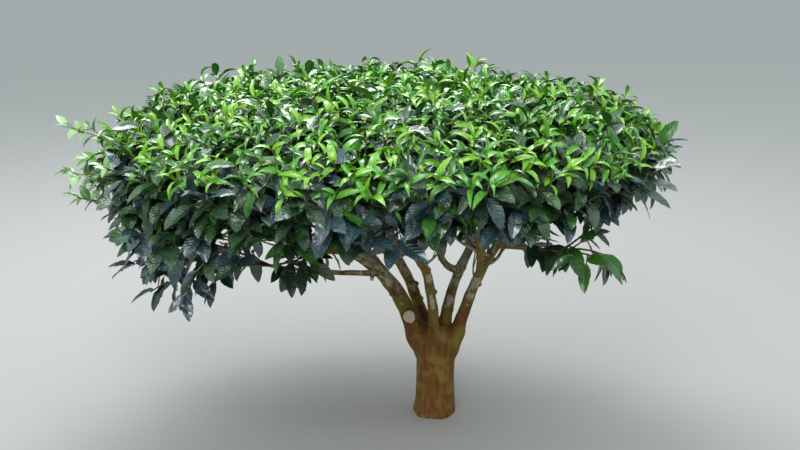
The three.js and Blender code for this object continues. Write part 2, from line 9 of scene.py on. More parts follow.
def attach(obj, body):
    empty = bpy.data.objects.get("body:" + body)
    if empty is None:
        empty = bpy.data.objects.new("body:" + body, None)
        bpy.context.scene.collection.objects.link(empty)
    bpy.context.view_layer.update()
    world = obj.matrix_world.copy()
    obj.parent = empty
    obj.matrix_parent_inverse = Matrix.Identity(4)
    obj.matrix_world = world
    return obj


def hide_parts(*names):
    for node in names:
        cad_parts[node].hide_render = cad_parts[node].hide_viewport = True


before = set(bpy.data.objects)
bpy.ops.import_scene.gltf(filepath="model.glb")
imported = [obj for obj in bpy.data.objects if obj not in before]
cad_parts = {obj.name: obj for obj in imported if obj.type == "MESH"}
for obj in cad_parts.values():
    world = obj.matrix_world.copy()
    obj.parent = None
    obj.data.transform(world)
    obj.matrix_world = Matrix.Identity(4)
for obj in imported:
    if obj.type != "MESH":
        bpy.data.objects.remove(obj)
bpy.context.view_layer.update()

MM = 0.001
SEED = 1848
UP = np.array([0.0, 0.0, 1.0])
GOLDEN_ANGLE = 137.5  # from one leaf to the next round a twig

# The crown, as in the solids: an oval table of shoots with a skirt of older leaves.
CENTRE_X, HALF_WIDTH, HALF_DEPTH = -121, 686, 560
PEAK, RIM, FLATNESS = 850, 716, 4.3
WAVE = 0.025
SKIRT = 512
SKIRT_SIDES = ((270, 44), (0, 36), (90, 20), (203, -104))  # directions, and how far the skirt rises there
CORE_TOP_DEPTH = 80
CORE_SPREAD = 1 - 82 / HALF_DEPTH
CORE_ABOVE_SKIRT = 30
FOOT_BELOW_SKIRT = 12
# Directions of the masses of foliage, how far out these lie, and how far out the tips of their boughs.
CROWN_RINGS = (
    ({"inner_right": 20, "inner_left": 160, "inner_front": 270}, 0.28, 0.18),
    (
        {
            "right": -15, "right_back": 25, "back_right": 65, "back": 105, "back_left": 145,
            "left": 185, "left_front": 229, "front": 274, "front_right": 311,
        },
        0.75, 0.48,
    ),
)
EDGE_TAPER = 0.14  # how much narrower the crown is at its skirt than at its table
UNTAPERED_SIDE = 196  # direction of the side where the skirt hangs as wide as the table
OPEN_SIDE, OPEN_FACING = 182, 0.93  # direction of the crown's open end, and the cosine that bounds it
OPEN_THINNED = 0.3  # of the shoots there are missing
LOW_SIDE, LOW_FACING = 203, 0.6  # the same for the side where the skirt hangs lowest, in a fringe
FRINGE_HEIGHT = 0.4  # of the edge's height

# The low sprays: foot, reach and azimuth, share of the reach and rise of each main twig, shares along
# these and reach of their side twigs, shares along the spray's bough where leafy twigs leave it, rows
# of leaves on each twig, and how their tints are dealt out.
DROOPING = {
    "low_left": {
        "foot": (-352, -172, 425), "reach": 235,
        "mains": ((146, 1, 26), (178, 1, 6), (208, 1, -10), (343, 0.35, 30)),
        "sides": (0.18, 0.36, 0.54, 0.72, 0.88), "side_reach": 72, "clothed": (),
        "rows": 4, "tints": (0.8, 2, 3, 6),
    },
    "low_right": {
        "foot": (250, -180, 470), "reach": 125,
        "mains": ((-85, 1, 26), (-40, 1, -2), (8, 1, -24), (-62, 0.62, 44), (34, 0.8, 42)),
        "sides": (0.6,), "side_reach": 40, "clothed": (0.4, 0.56, 0.7, 0.84, 0.97),
        "rows": 3, "tints": (3, 4, 3, 2),
    },
}
LOWEST_HANGING, LOWEST_YOUNG = 352, 420  # heights of the lowest leaf tips
# Long shoots at the crown's left edge: direction and height where they leave it, and their tips.
STRAY_SHOOTS = (
    (172, 662, (-886, 44, 712)), (181, 600, (-868, -34, 618)), (187, 566, (-826, -104, 572)),
)
STRAY_COUNT = 7  # shorter ones between them

# Heights and radii of the trunk.
TRUNK_RINGS = (
    (0, 51), (14, 50), (52, 47.5), (100, 45.5), (140, 45), (170, 46), (196, 46), (216, 40), (232, 24),
)
TRUNK_LEAN = 4
TRUNK_BROADENING = 0.12
TRUNK_GIRTH = 47  # its radius where bark is shared out between trunk and boughs
CROTCH = 120
# Name, parent and share along it or seat in the crotch, how it leaves, how it arrives, radii.
BOUGHS = (
    ("left", None, (-16, 0), (184, 74, 315), (10, 255), (25, 10)),
    ("right", None, (30, -2), (-10, 76, 190), (44, 120), (18, 9)),
    ("right_back", None, (8, 2), (20, 83, 200), (30, 170), (16.5, 9)),
    ("front", None, (-1, -22), (264, 88, 335), (30, 150), (14.5, 9)),
    ("back", None, (-14, 20), (92, 78, 210), (44, 120), (17, 9)),
    ("left_front", "left", 0.58, (225, 25, 60), (30, 70), (10.5, 8)),
    ("back_left", "back", 0.5, (160, 50, 90), (22, 120), (11.5, 8)),
    ("back_right", "right_back", 0.66, (100, 50, 60), (45, 60), (10, 8)),
    ("front_right", "right", 0.56, (-75, 45, 70), (35, 80), (10.5, 8)),
    ("inner_left", "left", 0.42, (140, 75, 50), (70, 50), (9, 7.5)),
    ("inner_right", "right_back", 0.53, (190, 5, 60), (85, 60), (9, 7.5)),
    ("inner_front", "front", 0.62, (230, 75, 40), (80, 40), (9, 7.5)),
    ("low_left", "left", 0.44, (222, 12, 90), (20, 70), (7.5, 5)),
    ("low_right", "right", 0.8, (-50, 10, 50), (10, 50), (7, 5)),
)
BOUGH_TAPER = 0.8
LIMB_STEP = 3
STUB_AT, STUB_AZIMUTH, STUB_CLIMB = (-48, -6, 254), 246, 12
STUB_LENGTH, STUB_RADIUS = 38, 14.5
BURL_AT, BURL_RADIUS = (-43, -8, 186), 21
# Share along the low left bough, azimuth, climb, length and radius of its short dead twigs.
BROKEN_TWIGS = ((0.1, 262, -30, 15, 5.0), (0.2, 250, 18, 13, 4.4))
KNOB_STEP = 47  # between the knobs that old prunings left on a bough
# Points round each kind of bark, and their spacing round a bough.
TRUNK_SIDES, STUB_SIDES, KNOB_SIDES, FEWEST_SIDES, SIDE_WIDTH = 110, 40, 20, 18, 2.6
TRUNK_RIDGES, TRUNK_LUMPS = 1.9, 0.05  # how far ridges stand out, and lumps as a share of the radius
BOUGH_RIDGES, BOUGH_LUMPS = 1.2, 0.16
BARK_VOXEL = 2.4  # of the grid in which bark is welded
# Bough, share along it and radius of the white patches of lichen on the boughs' front.
LICHEN = (
    ("right", 0.44, 13), ("right", 0.54, 17), ("right_back", 0.36, 14), ("right_back", 0.47, 12),
    ("front", 0.35, 11), ("front", 0.5, 12), ("back", 0.38, 12), ("left", 0.3, 11), ("left", 0.4, 17),
    ("left", 0.5, 24),
)
LICHEN_FROM, LICHEN_RISE = 235, 95  # height where it starts, and over which it thickens

# Twigs. The forks end under the table and in three rows behind the rim.
TOP_SPACING, RIM_SPACING = 121, 134
RIM_ROWS = (0.06, 0.42, 0.8)
SHOOT_SPACING, SPRAY_SPACING, HIDDEN_SPACING = 35, 50, 62
ROW_DEPTH = 0.88  # of the spacing, between staggered rows
FORKS_BELOW_CORE = 24
RIM_CLEARANCES = (48, 12)  # of the forks behind the rim, above the skirt and below the core's top
EDGE_CLEARANCES = (40, 28)  # of the edge's sprays, above the skirt and below the table
EDGE_ROWS, EDGE_ROW_RISE = 12, 0.86  # rows of sprays up the edge, and their rise as a share of the spacing
TALL_SHARE = 0.06  # of the table's shoots stand above the rest
DORMANT_SHARE = 0.12  # of the table's shoots end in mature leaves
SKIRT_KEPT = 0.7  # of the sprays lowest on the edge
FRINGE_KEPT = 0.6  # of those on the low side
BARE_TWIGS = 8  # on each bough
CLUMP_DEPTH = 0.035  # of the crown's half width, by which hollows lie behind clumps
PLAIN_TUBE = (5, 4)  # rings and sides
TUBE_SHAPES = {"stem": (6, 8), "fork": (5, 5), "droop_stem": (4, 8), "droop": (6, 5), "bare": (7, 6)}
CRUSTED_KINDS = ("bare", "bare_side")

# Leaves: width as a share of the length, arch, fold, and how far the face turns to the sky.
LeafKind = namedtuple("LeafKind", "width arch fold skyward")
BUD_LEAF = LeafKind(0.15, 18, 40, 0.3)
SICKLE_LEAF = LeafKind(0.28, 88, 34, 0.3)
SHOOT_LEAF = LeafKind(0.4, 52, 20, 0.7)
SKIRT_LEAF = LeafKind(0.46, 36, 14, 1.2)
HANGING_LEAF = LeafKind(0.4, 24, 12, 0.9)
STRAY_LEAF = LeafKind(0.5, 30, 20, 1.6)
# Back from the tip, lean and length of each leaf of a shoot, from its bud down.
BUD = ((0, 5, 24),)
FLUSH = ((2, 18, 42), (9, 30, 52), (19, 40, 58), (31, 50, 60))
SHOOT_OLD = ((44, 58, 62), (58, 66, 66), (76, 70, 68), (96, 70, 68))
SPRAY_OLD = ((2, 24, 60), (12, 46, 66), (27, 58, 71), (43, 64, 74), (60, 68, 74), (77, 70, 72))
DORMANT_OLD = ((2, 22, 50), (9, 48, 60), (24, 60, 64))
HIDDEN_OLD = ((2, 26, 64), (20, 58, 68), (42, 64, 70), (64, 68, 70))
DROOPING_OLD = ((0, 14, 58), (12, 50, 66), (30, 56, 68), (50, 60, 66))
STRAY_YOUNG = ((0, 12, 32), (9, 44, 38), (22, 50, 40), (38, 56, 40), (56, 58, 38), (76, 58, 38))
# How many shares each tint gets, in the order of the materials below.
TABLE_FLUSH_TINTS, EDGE_FLUSH_TINTS, STRAY_TINTS = (4, 5, 3), (0.3, 3, 6), (1, 3, 3, 5)
HIDDEN_TINTS = (0, 1, 5, 4)
# The old leaves that show: twigs that bear them, rows, tints, kind and droop.
OLD_GROWTH = (
    ("shoot", SHOOT_OLD, (3, 3, 4.5, 2), SHOOT_LEAF, 0.0),
    ("dormant", DORMANT_OLD, (6, 3, 1, 0), SHOOT_LEAF, 0.0),
    ("mature", SPRAY_OLD[:2], (1, 2.4, 4, 4), SKIRT_LEAF, 0.25),
    ("edge", SPRAY_OLD[2:], (0.2, 2.4, 4, 4), SKIRT_LEAF, 0.3),
    ("low", SPRAY_OLD[1:2], (0, 1, 5, 6), SKIRT_LEAF, 0.5),
)
LEAF_CLEARANCE = 8  # from a leaf's middle to the boughs
LEAF_STALK = 0.06  # share of a leaf's length
VEIN_PAIRS = 8  # side veins on each half of a leaf
VEIN_SLANT = 0.2  # share of the leaf's length by which a side vein runs forward to the edge
PLEAT_ROWS = 3  # to each wave between two veins, so that its two sides catch the light unlike
PLEAT_DEPTH = 2.2

# Name, place in metres, size and power of each lamp, and the point they face.
LIGHTS = (("back_light", (-0.6, 1.6, 3.0), 1.8, 92), ("front_light", (-0.5, -2.8, 2.7), 1.4, 64))
LIGHTS_FACE = (-0.1, 0, 0.7)
CAMERA_AT = (-0.085, -3.0, 1.30)
CAMERA_PITCH = 15.3  # below the horizon
CAMERA_LENS = 58.6  # on a 36 mm wide sensor


# Directions and curves

def lengths(vectors):
    return np.linalg.norm(vectors, axis=-1)


def unit(vectors):
    return vectors / lengths(vectors)[..., None]


def part_along(vectors, way):
    """The part of vectors that runs along unit ways."""
    return np.sum(vectors * way, -1, keepdims=True) * way


def heading(azimuth, climb):
    """Directions from azimuths and climbs."""
    azimuth, climb = np.broadcast_arrays(np.radians(azimuth), np.radians(climb))
    level = np.cos(climb)
    return np.stack([level * np.cos(azimuth), level * np.sin(azimuth), np.sin(climb)], -1)


def turned(vectors, axis, angle):
    """Vectors turned round unit axes."""
    angle = np.radians(angle)[..., None]
    along = part_along(vectors, axis)
    return (vectors - along) * np.cos(angle) + np.cross(axis, vectors) * np.sin(angle) + along


def sideways(ways):
    """A level direction across each way."""
    steep = np.abs(ways[..., 2:]) > 0.95
    return unit(np.cross(ways, np.where(steep, np.array([1.0, 0, 0]), UP)))


def frames_along(lines):
    """Two directions across lines of points, at every point."""
    ways = unit(np.gradient(lines, axis=-2))
    across = sideways(ways[..., :1, :])
    across = unit(across - part_along(across, ways))
    return across, np.cross(ways, across)


def mix(low, high, share):
    return low + (high - low) * share


def patches(x, y, size, seed):
    """Smooth patches from -1 to 1, each about as wide as `size`."""
    rng = np.random.default_rng(seed)
    total = np.zeros_like(x, dtype=float)
    for turn in np.radians(rng.uniform(0, 180) + np.array([0, 50, 95, 140])):
        phase = rng.uniform(0, 2 * math.pi)
        total += np.sin(math.pi * (x * np.cos(turn) + y * np.sin(turn)) / size + phase)
    return total / 4


# The crown's shape

def outline_wave(azimuth):
    return 1 + WAVE * (np.sin(3 * azimuth + 1.2) + 0.7 * np.sin(5 * azimuth - 0.6))


def crown_point(direction, spread):
    azimuth = np.radians(direction)
    reach = spread * outline_wave(azimuth)
    return CENTRE_X + HALF_WIDTH * reach * np.cos(azimuth), HALF_DEPTH * reach * np.sin(azimuth)


def crown_polar(x, y):
    """Azimuth in radians, and the spread, which is 0 at the crown's centre and 1 on its outline."""
    across, deep = (x - CENTRE_X) / HALF_WIDTH, y / HALF_DEPTH
    azimuth = np.arctan2(deep, across)
    return azimuth, np.hypot(across, deep) / outline_wave(azimuth)


def table_height(x, y):
    return RIM + (PEAK - RIM) * (1 - crown_polar(x, y)[1] ** FLATNESS)


def skirt_height(x, y):
    azimuth, spread = crown_polar(x, y)
    height = SKIRT
    for towards, by in SKIRT_SIDES:
        height = height + by * np.maximum(0, np.cos(azimuth - math.radians(towards))) ** 2 * spread**2
    return height


Mass = namedtuple("Mass", "name x y foot")


def crown_masses():
    masses = []
    for directions, spread, foot_spread in CROWN_RINGS:
        for name, direction in directions.items():
            x, y = crown_point(direction, foot_spread)
            foot = np.array([x, y, skirt_height(x, y) - FOOT_BELOW_SKIRT])
            masses.append(Mass(name, *crown_point(direction, spread), foot))
    return masses


MASSES = crown_masses()
MASS_NAMES = [mass.name for mass in MASSES] + list(DROOPING)


def nearest_mass(x, y):
    centres = np.array([(mass.x, mass.y) for mass in MASSES])
    away = np.hypot(np.subtract.outer(x, centres[:, 0]), np.subtract.outer(y, centres[:, 1]))
    return np.argmin(away, axis=-1)


# Limbs

Limb = namedtuple("Limb", "points radii")


def evenly_along(points, step):
    """A fine line of points, resampled at an even step, and its length."""
    run = np.concatenate([[0], np.cumsum(lengths(np.diff(points, axis=0)))])
    count = max(8, round(run[-1] / step))
    marks = np.linspace(0, run[-1], count + 1)
    return np.stack([np.interp(marks, run, points[:, i]) for i in range(3)], -1), run[-1]


def limb_at(limb, share):
    place = share * (len(limb.points) - 1)
    return np.array([np.interp(place, np.arange(len(limb.points)), limb.points[:, i]) for i in range(3)])


def tip_way(limb):
    return unit(limb.points[-1] - limb.points[-2])


def webbing(distance):
    """A trunk bough is slim inside the trunk and swells where it webs with its neighbours."""
    return 1 + 0.3 * np.exp(-(((distance - 78) / 45) ** 2)) - 0.3 * np.exp(-((distance / 40) ** 2))


def bough_limbs():
    limbs = {}
    feet = {mass.name: mass.foot for mass in MASSES}
    feet.update({name: np.array(spray["foot"], float) for name, spray in DROOPING.items()})
    for name, parent, place, (azimuth, climb, rise), (arrival, run), (thick, thin) in BOUGHS:
        foot = feet[name]
        root = limb_at(limbs[parent], place) if parent else np.array([*place, CROTCH], float)
        onward = math.degrees(math.atan2(foot[1] - root[1], foot[0] - root[0]))
        leave = root + rise * heading(azimuth, climb)
        arrive = foot - run * heading(onward, arrival)
        t = np.linspace(0, 1, 201)[:, None]
        curve = (1 - t) ** 3 * root + 3 * t * (1 - t) ** 2 * leave
        curve = curve + 3 * t**2 * (1 - t) * arrive + t**3 * foot
        points, length = evenly_along(curve, LIMB_STEP)
        share = np.linspace(0, 1, len(points))
        radii = mix(thick, thin, share**BOUGH_TAPER)
        if parent is None:
            radii = radii * webbing(share * length)
        limbs[name] = Limb(points, radii)
    return limbs


LIMBS = bough_limbs()


def near_a_limb(points):
    """Whether points are too close to a bough's bark for a leaf."""
    near = np.zeros(len(points), bool)
    for limb in LIMBS.values():
        away = lengths(points[:, None] - limb.points[None, ::4])
        near |= (away < limb.radii[None, ::4] + LEAF_CLEARANCE).any(axis=1)
    return near


# Meshes

def mesh_object(name, points, faces, materials, face_material=None):
    """A smooth triangle mesh from arrays of points in millimetres and of corner numbers."""
    mesh = bpy.data.meshes.new(name)
    mesh.vertices.add(len(points))
    mesh.vertices.foreach_set("co", (np.asarray(points) * MM).astype(np.float32).ravel())
    mesh.loops.add(faces.size)
    mesh.loops.foreach_set("vertex_index", faces.astype(np.int32).ravel())
    mesh.polygons.add(len(faces))
    mesh.polygons.foreach_set("loop_start", np.arange(0, faces.size, 3, dtype=np.int32))
    for material in materials:
        mesh.materials.append(material)
    if face_material is not None:
        mesh.polygons.foreach_set("material_index", face_material.astype(np.int32))
    mesh.polygons.foreach_set("use_smooth", np.ones(len(faces), bool))
    mesh.update(calc_edges=True)
    piece = bpy.data.objects.new(name, mesh)
    bpy.context.scene.collection.objects.link(piece)
    return piece


def mark_points(mesh, name, kind, field, values):
    """Gives a mesh a named value on each of its points."""
    attribute = mesh.attributes.new(name, kind, "POINT")
    attribute.data.foreach_set(field, np.asarray(values, np.float32).ravel())


def split_quads(quads):
    return np.concatenate([quads[:, [0, 1, 2]], quads[:, [0, 2, 3]]])


def grid_quads(rows, wide, closed):
    """Quads between rows of points, which are rings if they are closed."""
    row, column = np.meshgrid(np.arange(rows - 1), np.arange(wide if closed else wide - 1), indexing="ij")
    here = (row * wide + column).ravel()
    after = (row * wide + (column + 1) % wide).ravel()
    return np.stack([here, after, after + wide, here + wide], -1)


def joined(parts):
    """Several meshes as one: points, faces and whatever else they carry, each end to end."""
    firsts = np.cumsum([0] + [len(part[0]) for part in parts[:-1]])
    faces = np.concatenate([part[1] + first for part, first in zip(parts, firsts)])
    points, _, *others = [np.concatenate(values) for values in zip(*parts)]
    return points, faces, *others


def tube_faces(rings, sides):
    """Faces of a tube of rings, closed at both ends by a middle point, numbered after the rings."""
    around = np.arange(sides)
    onward = (around + 1) % sides
    last = (rings - 1) * sides
    start_cap = np.stack([onward, around, np.full(sides, rings * sides)], -1)
    end_cap = np.stack([around + last, onward + last, np.full(sides, rings * sides + 1)], -1)
    return np.concatenate([split_quads(grid_quads(rings, sides, True)), start_cap, end_cap])


def tubes(lines, radii, sides):
    """Points and faces of many tubes at once: lines are n by rings by 3, radii n by rings."""
    count, rings = radii.shape
    across, other = frames_along(lines)
    around = np.arange(sides) * 2 * math.pi / sides
    spokes = across[:, :, None] * np.cos(around)[:, None] + other[:, :, None] * np.sin(around)[:, None]
    walls = lines[:, :, None] + radii[:, :, None, None] * spokes
    points = np.concatenate([walls.reshape(count, rings * sides, 3), lines[:, :1], lines[:, -1:]], 1)
    offsets = np.arange(count)[:, None, None] * points.shape[1]
    return points.reshape(-1, 3), (tube_faces(rings, sides)[None] + offsets).reshape(-1, 3)


# Bark

def bark_tube(points, radii, sides, shift, ridges, lumps):
    """A limb whose bark stands out in long fibrous ridges and slow lumps."""
    across, other = frames_along(points)
    wall = np.empty((len(points), sides, 3))
    for i, radius in enumerate(radii):
        distance = i * LIMB_STEP
        for j in range(sides):
            azimuth = 2 * math.pi * j / sides
            cosine, sine = math.cos(azimuth), math.sin(azimuth)
            x, y = radius * cosine, radius * sine
            ridge = noise.noise(Vector((x / 5 + shift, y / 5, distance / 38)))
            fine = noise.noise(Vector((x / 2.4, y / 2.4 + shift, distance / 14)))
            lump = noise.noise(Vector((x / 30, y / 30 + shift, distance / 34)))
            out = radius * (1 + lumps * lump) + ridges * (ridge + 0.5 * fine)
            wall[i, j] = points[i] + out * (across[i] * cosine + other[i] * sine)
    return np.concatenate([wall.reshape(-1, 3), points[:1], points[-1:]]), tube_faces(len(points), sides)


def trunk_tube():
    """The trunk, with the swelling of its roots and its broadening under the boughs."""
    heights, radii = np.array(TRUNK_RINGS, float).T
    levels = np.arange(0, heights[-1] + 1, LIMB_STEP)
    profile = np.interp(levels, heights, radii)
    points, faces = bark_tube(levels[:, None] * UP, profile, TRUNK_SIDES, 3.7, TRUNK_RIDGES, TRUNK_LUMPS)
    height = points[:, 2] / heights[-1]
    azimuth = np.arctan2(points[:, 1], points[:, 0])
    roots = 1 + 0.05 * np.sin(5 * azimuth + 0.7) * np.maximum(0, 1 - points[:, 2] / 120)
    points[:, 0] = points[:, 0] * roots * (1 + TRUNK_BROADENING * height**3) + TRUNK_LEAN * height
    points[:, 1] = points[:, 1] * roots
    return points, faces


def pruned_stub():
    """The stub of a pruned limb, with a ring of callus round its cut."""
    levels = np.arange(0, STUB_LENGTH + 0.1, LIMB_STEP)
    points = np.array(STUB_AT) + levels[:, None] * heading(STUB_AZIMUTH, STUB_CLIMB)
    callus = 2.2 * np.exp(-(((levels - STUB_LENGTH + 6) / 5) ** 2))
    radii = mix(STUB_RADIUS + 2, STUB_RADIUS, levels / STUB_LENGTH) + callus
    return bark_tube(points, radii, STUB_SIDES, 9.1, 0.8, 0.08)


def broken_twig_places():
    """Root, direction, length and radius of the short dead twigs on the low left bough."""
    bough = LIMBS["low_left"]
    return [
        (limb_at(bough, share), heading(azimuth, climb), length + 6, radius)
        for share, azimuth, climb, length, radius in BROKEN_TWIGS
    ]


def broken_twigs():
    twigs = []
    for root, way, length, radius in broken_twig_places():
        levels = np.arange(0, length + 0.1, LIMB_STEP)
        points = root + levels[:, None] * way
        twigs.append(bark_tube(points, np.full(len(levels), radius), FEWEST_SIDES, 4.1, 0.6, 0.15))
    return twigs


def knobs(rng):
    """The healed stumps of old prunings, as low knobs on the boughs."""
    parts = []
    for limb in LIMBS.values():
        if limb.radii[0] < 9:
            continue
        length = LIMB_STEP * (len(limb.points) - 1)
        first = 150 if limb.points[0][2] == CROTCH else 40
        for run in np.arange(first, length - 20, KNOB_STEP):
            place = int((run + rng.uniform(-16, 16)) / LIMB_STEP)
            radius = limb.radii[place]
            way = unit(limb.points[place] - limb.points[place - 1])
            out = turned(sideways(way), way, np.array(rng.uniform(0, 360)))
            out = unit(out + 0.5 * way)
            size = radius * rng.uniform(0.4, 0.65)
            levels = np.arange(0, radius + size * rng.uniform(0.2, 0.9), LIMB_STEP)
            levels = np.concatenate([levels, levels[-1:] + 2])
            radii = size * np.where(levels == levels[-1], 0.7, 1.0)
            points = limb.points[place] + levels[:, None] * out
            parts.append(bark_tube(points, radii, KNOB_SIDES, run, 0.8, 0.25))
    return parts


def burl():
    levels = np.linspace(-0.97, 0.97, 15)
    points = np.array(BURL_AT) + BURL_RADIUS * levels[:, None] * heading(190, 20)
    return bark_tube(points, BURL_RADIUS * np.sqrt(1 - levels**2), STUB_SIDES, 5.3, 1.2, 0.25)


def evaluated_mesh(piece):
    """The mesh of a piece with its modifiers applied for good."""
    depsgraph = bpy.context.evaluated_depsgraph_get()
    mesh = bpy.data.meshes.new_from_object(piece.evaluated_get(depsgraph))
    piece.modifiers.clear()
    old = piece.data
    piece.data = mesh
    bpy.data.meshes.remove(old)
    return mesh


def bark_skin():
    """Trunk, boughs, burl and pruned stub under one bark, welded softly where they meet."""
    parts = [trunk_tube(), pruned_stub(), burl(), *broken_twigs(), *knobs(np.random.default_rng(SEED))]
    for number, limb in enumerate(LIMBS.values()):
        sides = max(FEWEST_SIDES, int(limb.radii[0] * 2 * math.pi / SIDE_WIDTH))
        parts.append(bark_tube(limb.points, limb.radii, sides, 11.3 * number, BOUGH_RIDGES, BOUGH_LUMPS))
    skin = mesh_object("bark", *joined(parts), [BARK])
    weld = skin.modifiers.new("weld", "REMESH")
    weld.mode = "VOXEL"
    weld.voxel_size = BARK_VOXEL * MM
    soften = skin.modifiers.new("soften", "SMOOTH")
    soften.factor = 0.5
    soften.iterations = 2
    mesh = evaluated_mesh(skin)
    co = np.empty(len(mesh.vertices) * 3, np.float32)
    mesh.vertices.foreach_get("co", co)
    co = co.reshape(-1, 3)
    co[:, 2] = np.maximum(co[:, 2], 0)
    mesh.vertices.foreach_set("co", co.ravel())
    mesh.polygons.foreach_set("use_smooth", np.ones(len(mesh.polygons), bool))
    mark_bark(mesh, co / MM)
    mesh.update()
    return skin


def mark_bark(mesh, points):
    """Gives bark its grain, which runs along each limb, and its patches of lichen."""
    mark_points(mesh, "grain", "FLOAT_VECTOR", "vector", bark_grain(points) * MM)
    normals = np.empty(len(points) * 3, np.float32)
    mesh.vertices.foreach_get("normal", normals)
    upward = normals.reshape(-1, 3)[:, 2]
    crusted = np.clip((points[:, 2] - LICHEN_FROM) / LICHEN_RISE, 0, 1)
    crusted = np.clip(0.79 + 0.22 * upward, 0, 1) * crusted
    ragged = patches(points[:, 0] + points[:, 1], points[:, 2], 11, SEED + 4)
    for name, share, radius in LICHEN:
        limb = LIMBS[name]
        middle = limb_at(limb, share) + (0, -12, 5)
        way = unit(limb_at(limb, share + 0.02) - limb_at(limb, share - 0.02))
        gap = points - middle
        gap = gap - 0.5 * part_along(gap, way)
        away = lengths(gap) / radius * (1 + 0.5 * ragged)
        crusted = np.maximum(crusted, 0.97 * np.exp(-(away**4)))
    mark_points(mesh, "crusted", "FLOAT", "value", crusted)


def bark_grain(points):
    """Where points lie across and along the limb that they are closest to."""
    best = np.full(len(points), np.inf)
    grain = np.zeros((len(points), 3), np.float32)
    trunk = Limb(np.linspace(0, TRUNK_RINGS[-1][0], 80)[:, None] * UP, np.full(80, TRUNK_GIRTH))
    for number, limb in enumerate([trunk, *LIMBS.values()]):
        across, other = frames_along(limb.points)
        step = lengths(limb.points[1] - limb.points[0])
        for begin in range(0, len(points), 20000):
            part = slice(begin, begin + 20000)
            away = lengths(points[part, None] - limb.points[None])
            nearest = np.argmin(away, axis=1)
            close = away[np.arange(len(nearest)), nearest] / limb.radii[nearest]
            better = close < best[part]
            spoke = points[part] - limb.points[nearest]
            sides = [np.sum(spoke * side[nearest], -1) for side in (across, other)]
            own = np.stack([sides[0], sides[1] + 60 * number, nearest * step], -1)
            grain[part][better] = own[better]
            best[part] = np.where(better, close, best[part])
    return grain


# Twigs, each a curve from its start by way of a bend to its tip

class Twigs:
    FIELDS = ("start", "bend", "tip", "thick", "thin", "mass")

    def __init__(self, start, bend, tip, thick, thin, mass):
        self.start, self.bend, self.tip = start, bend, tip
        self.thick = np.broadcast_to(thick, len(start))
        self.thin = np.broadcast_to(thin, len(start))
        self.mass = mass
        self.length = lengths(bend - start) + lengths(tip - bend)

    def at(self, share):
        share = np.broadcast_to(share, len(self.start))[:, None]
        return (1 - share) ** 2 * self.start + 2 * share * (1 - share) * self.bend + share**2 * self.tip

    def way(self, share):
        share = np.broadcast_to(share, len(self.start))[:, None]
        return unit((1 - share) * (self.bend - self.start) + share * (self.tip - self.bend) + 1e-6)

    def chosen(self, which):
        return Twigs(*[getattr(self, field)[which] for field in self.FIELDS])

    def tubes(self, rings, sides):
        shares = np.linspace(0, 1, rings)
        lines = np.stack([self.at(share) for share in shares], 1)
        radii = mix(self.thick[:, None], self.thin[:, None], shares[None] ** 0.8)
        return tubes(lines, radii, sides)


def twigs_from(rows):
    """Twigs from a row of fields for each."""
    return Twigs(*[np.array(values) for values in zip(*rows)])


def gathered_twigs(groups):
    return Twigs(*[np.concatenate([getattr(group, field) for group in groups]) for field in Twigs.FIELDS])


def core_top(x, y):
    """Height of the tops of the solids' cores, which sink towards the rim."""
    spread = np.minimum(1, crown_polar(x, y)[1] / CORE_SPREAD)
    top = table_height(x, y) - CORE_TOP_DEPTH
    middle = mix(skirt_height(x, y) + CORE_ABOVE_SKIRT, top, 0.45)
    return mix(middle, top, np.maximum(0, 1 - spread**2) ** 0.15)


def staggered(spacing, reach, rng, stray):
    """Places over the crown in staggered rows, out to a spread, each strayed a little."""
    rows = int(HALF_DEPTH * 1.1 / (spacing * ROW_DEPTH)) + 1
    columns = int(HALF_WIDTH * 1.1 / spacing) + 1
    row, column = np.meshgrid(np.arange(-rows, rows + 1), np.arange(-columns, columns + 1), indexing="ij")
    x = CENTRE_X + (column + 0.5 * (row % 2)) * spacing
    y = row * spacing * ROW_DEPTH
    x = x + rng.uniform(-stray, stray, x.shape)
    y = y + rng.uniform(-stray, stray, y.shape)
    inside = crown_polar(x, y)[1] < reach
    return x[inside], y[inside]


def round_the_rim(count, row, astray=0):
    """Directions round the crown, every other row staggered, and strayed by parts of a step."""
    return 360 * (np.arange(count) + 0.5 * (row % 2) + astray) / count


def fork_ends(rng):
    """Where the forks of the stems end: under the table and behind the rim, as in the solids."""
    x, y = staggered(TOP_SPACING, 0.84, rng, 15)
    ends = [np.stack([x, y, core_top(x, y) - FORKS_BELOW_CORE], -1)]
    count = round(math.pi * (HALF_WIDTH + HALF_DEPTH) / RIM_SPACING)
    for row, share in enumerate(RIM_ROWS):
        x, y = crown_point(round_the_rim(count, row), CORE_SPREAD - 0.1)
        low = skirt_height(x, y) + RIM_CLEARANCES[0]
        high = table_height(x, y) - CORE_TOP_DEPTH - RIM_CLEARANCES[1]
        ends.append(np.stack([x, y, mix(low, high, share)], -1))
    ends = np.concatenate(ends)
    return ends, nearest_mass(ends[:, 0], ends[:, 1])


def stems():
    """Each bough's tip goes on as a stem into its mass."""
    rows = []
    for number, mass in enumerate(MASSES):
        limb = LIMBS[mass.name]
        way = tip_way(limb)
        x, y = mix(mass.foot[0], mass.x, 0.4), mix(mass.foot[1], mass.y, 0.4)
        head = (x, y, mix(skirt_height(x, y), table_height(x, y), 0.35))
        rows.append((mass.foot - 6 * way, mass.foot + 40 * way, head, limb.radii[-1], 5.5, number))
    return twigs_from(rows)


def forks(stem, rng):
    """Twigs from the stems to every fork end."""
    ends, mass = fork_ends(rng)
    share = rng.uniform(0.45, 1.0, len(ends))
    own = stem.chosen(mass)
    start = own.at(share)
    reach = lengths(ends - start)[:, None]
    bend = start + 0.5 * reach * unit(own.way(share) + 0.7 * unit(ends - start) + 0.25 * UP)
    return Twigs(start, bend, ends, 4.6, 2.6, mass)


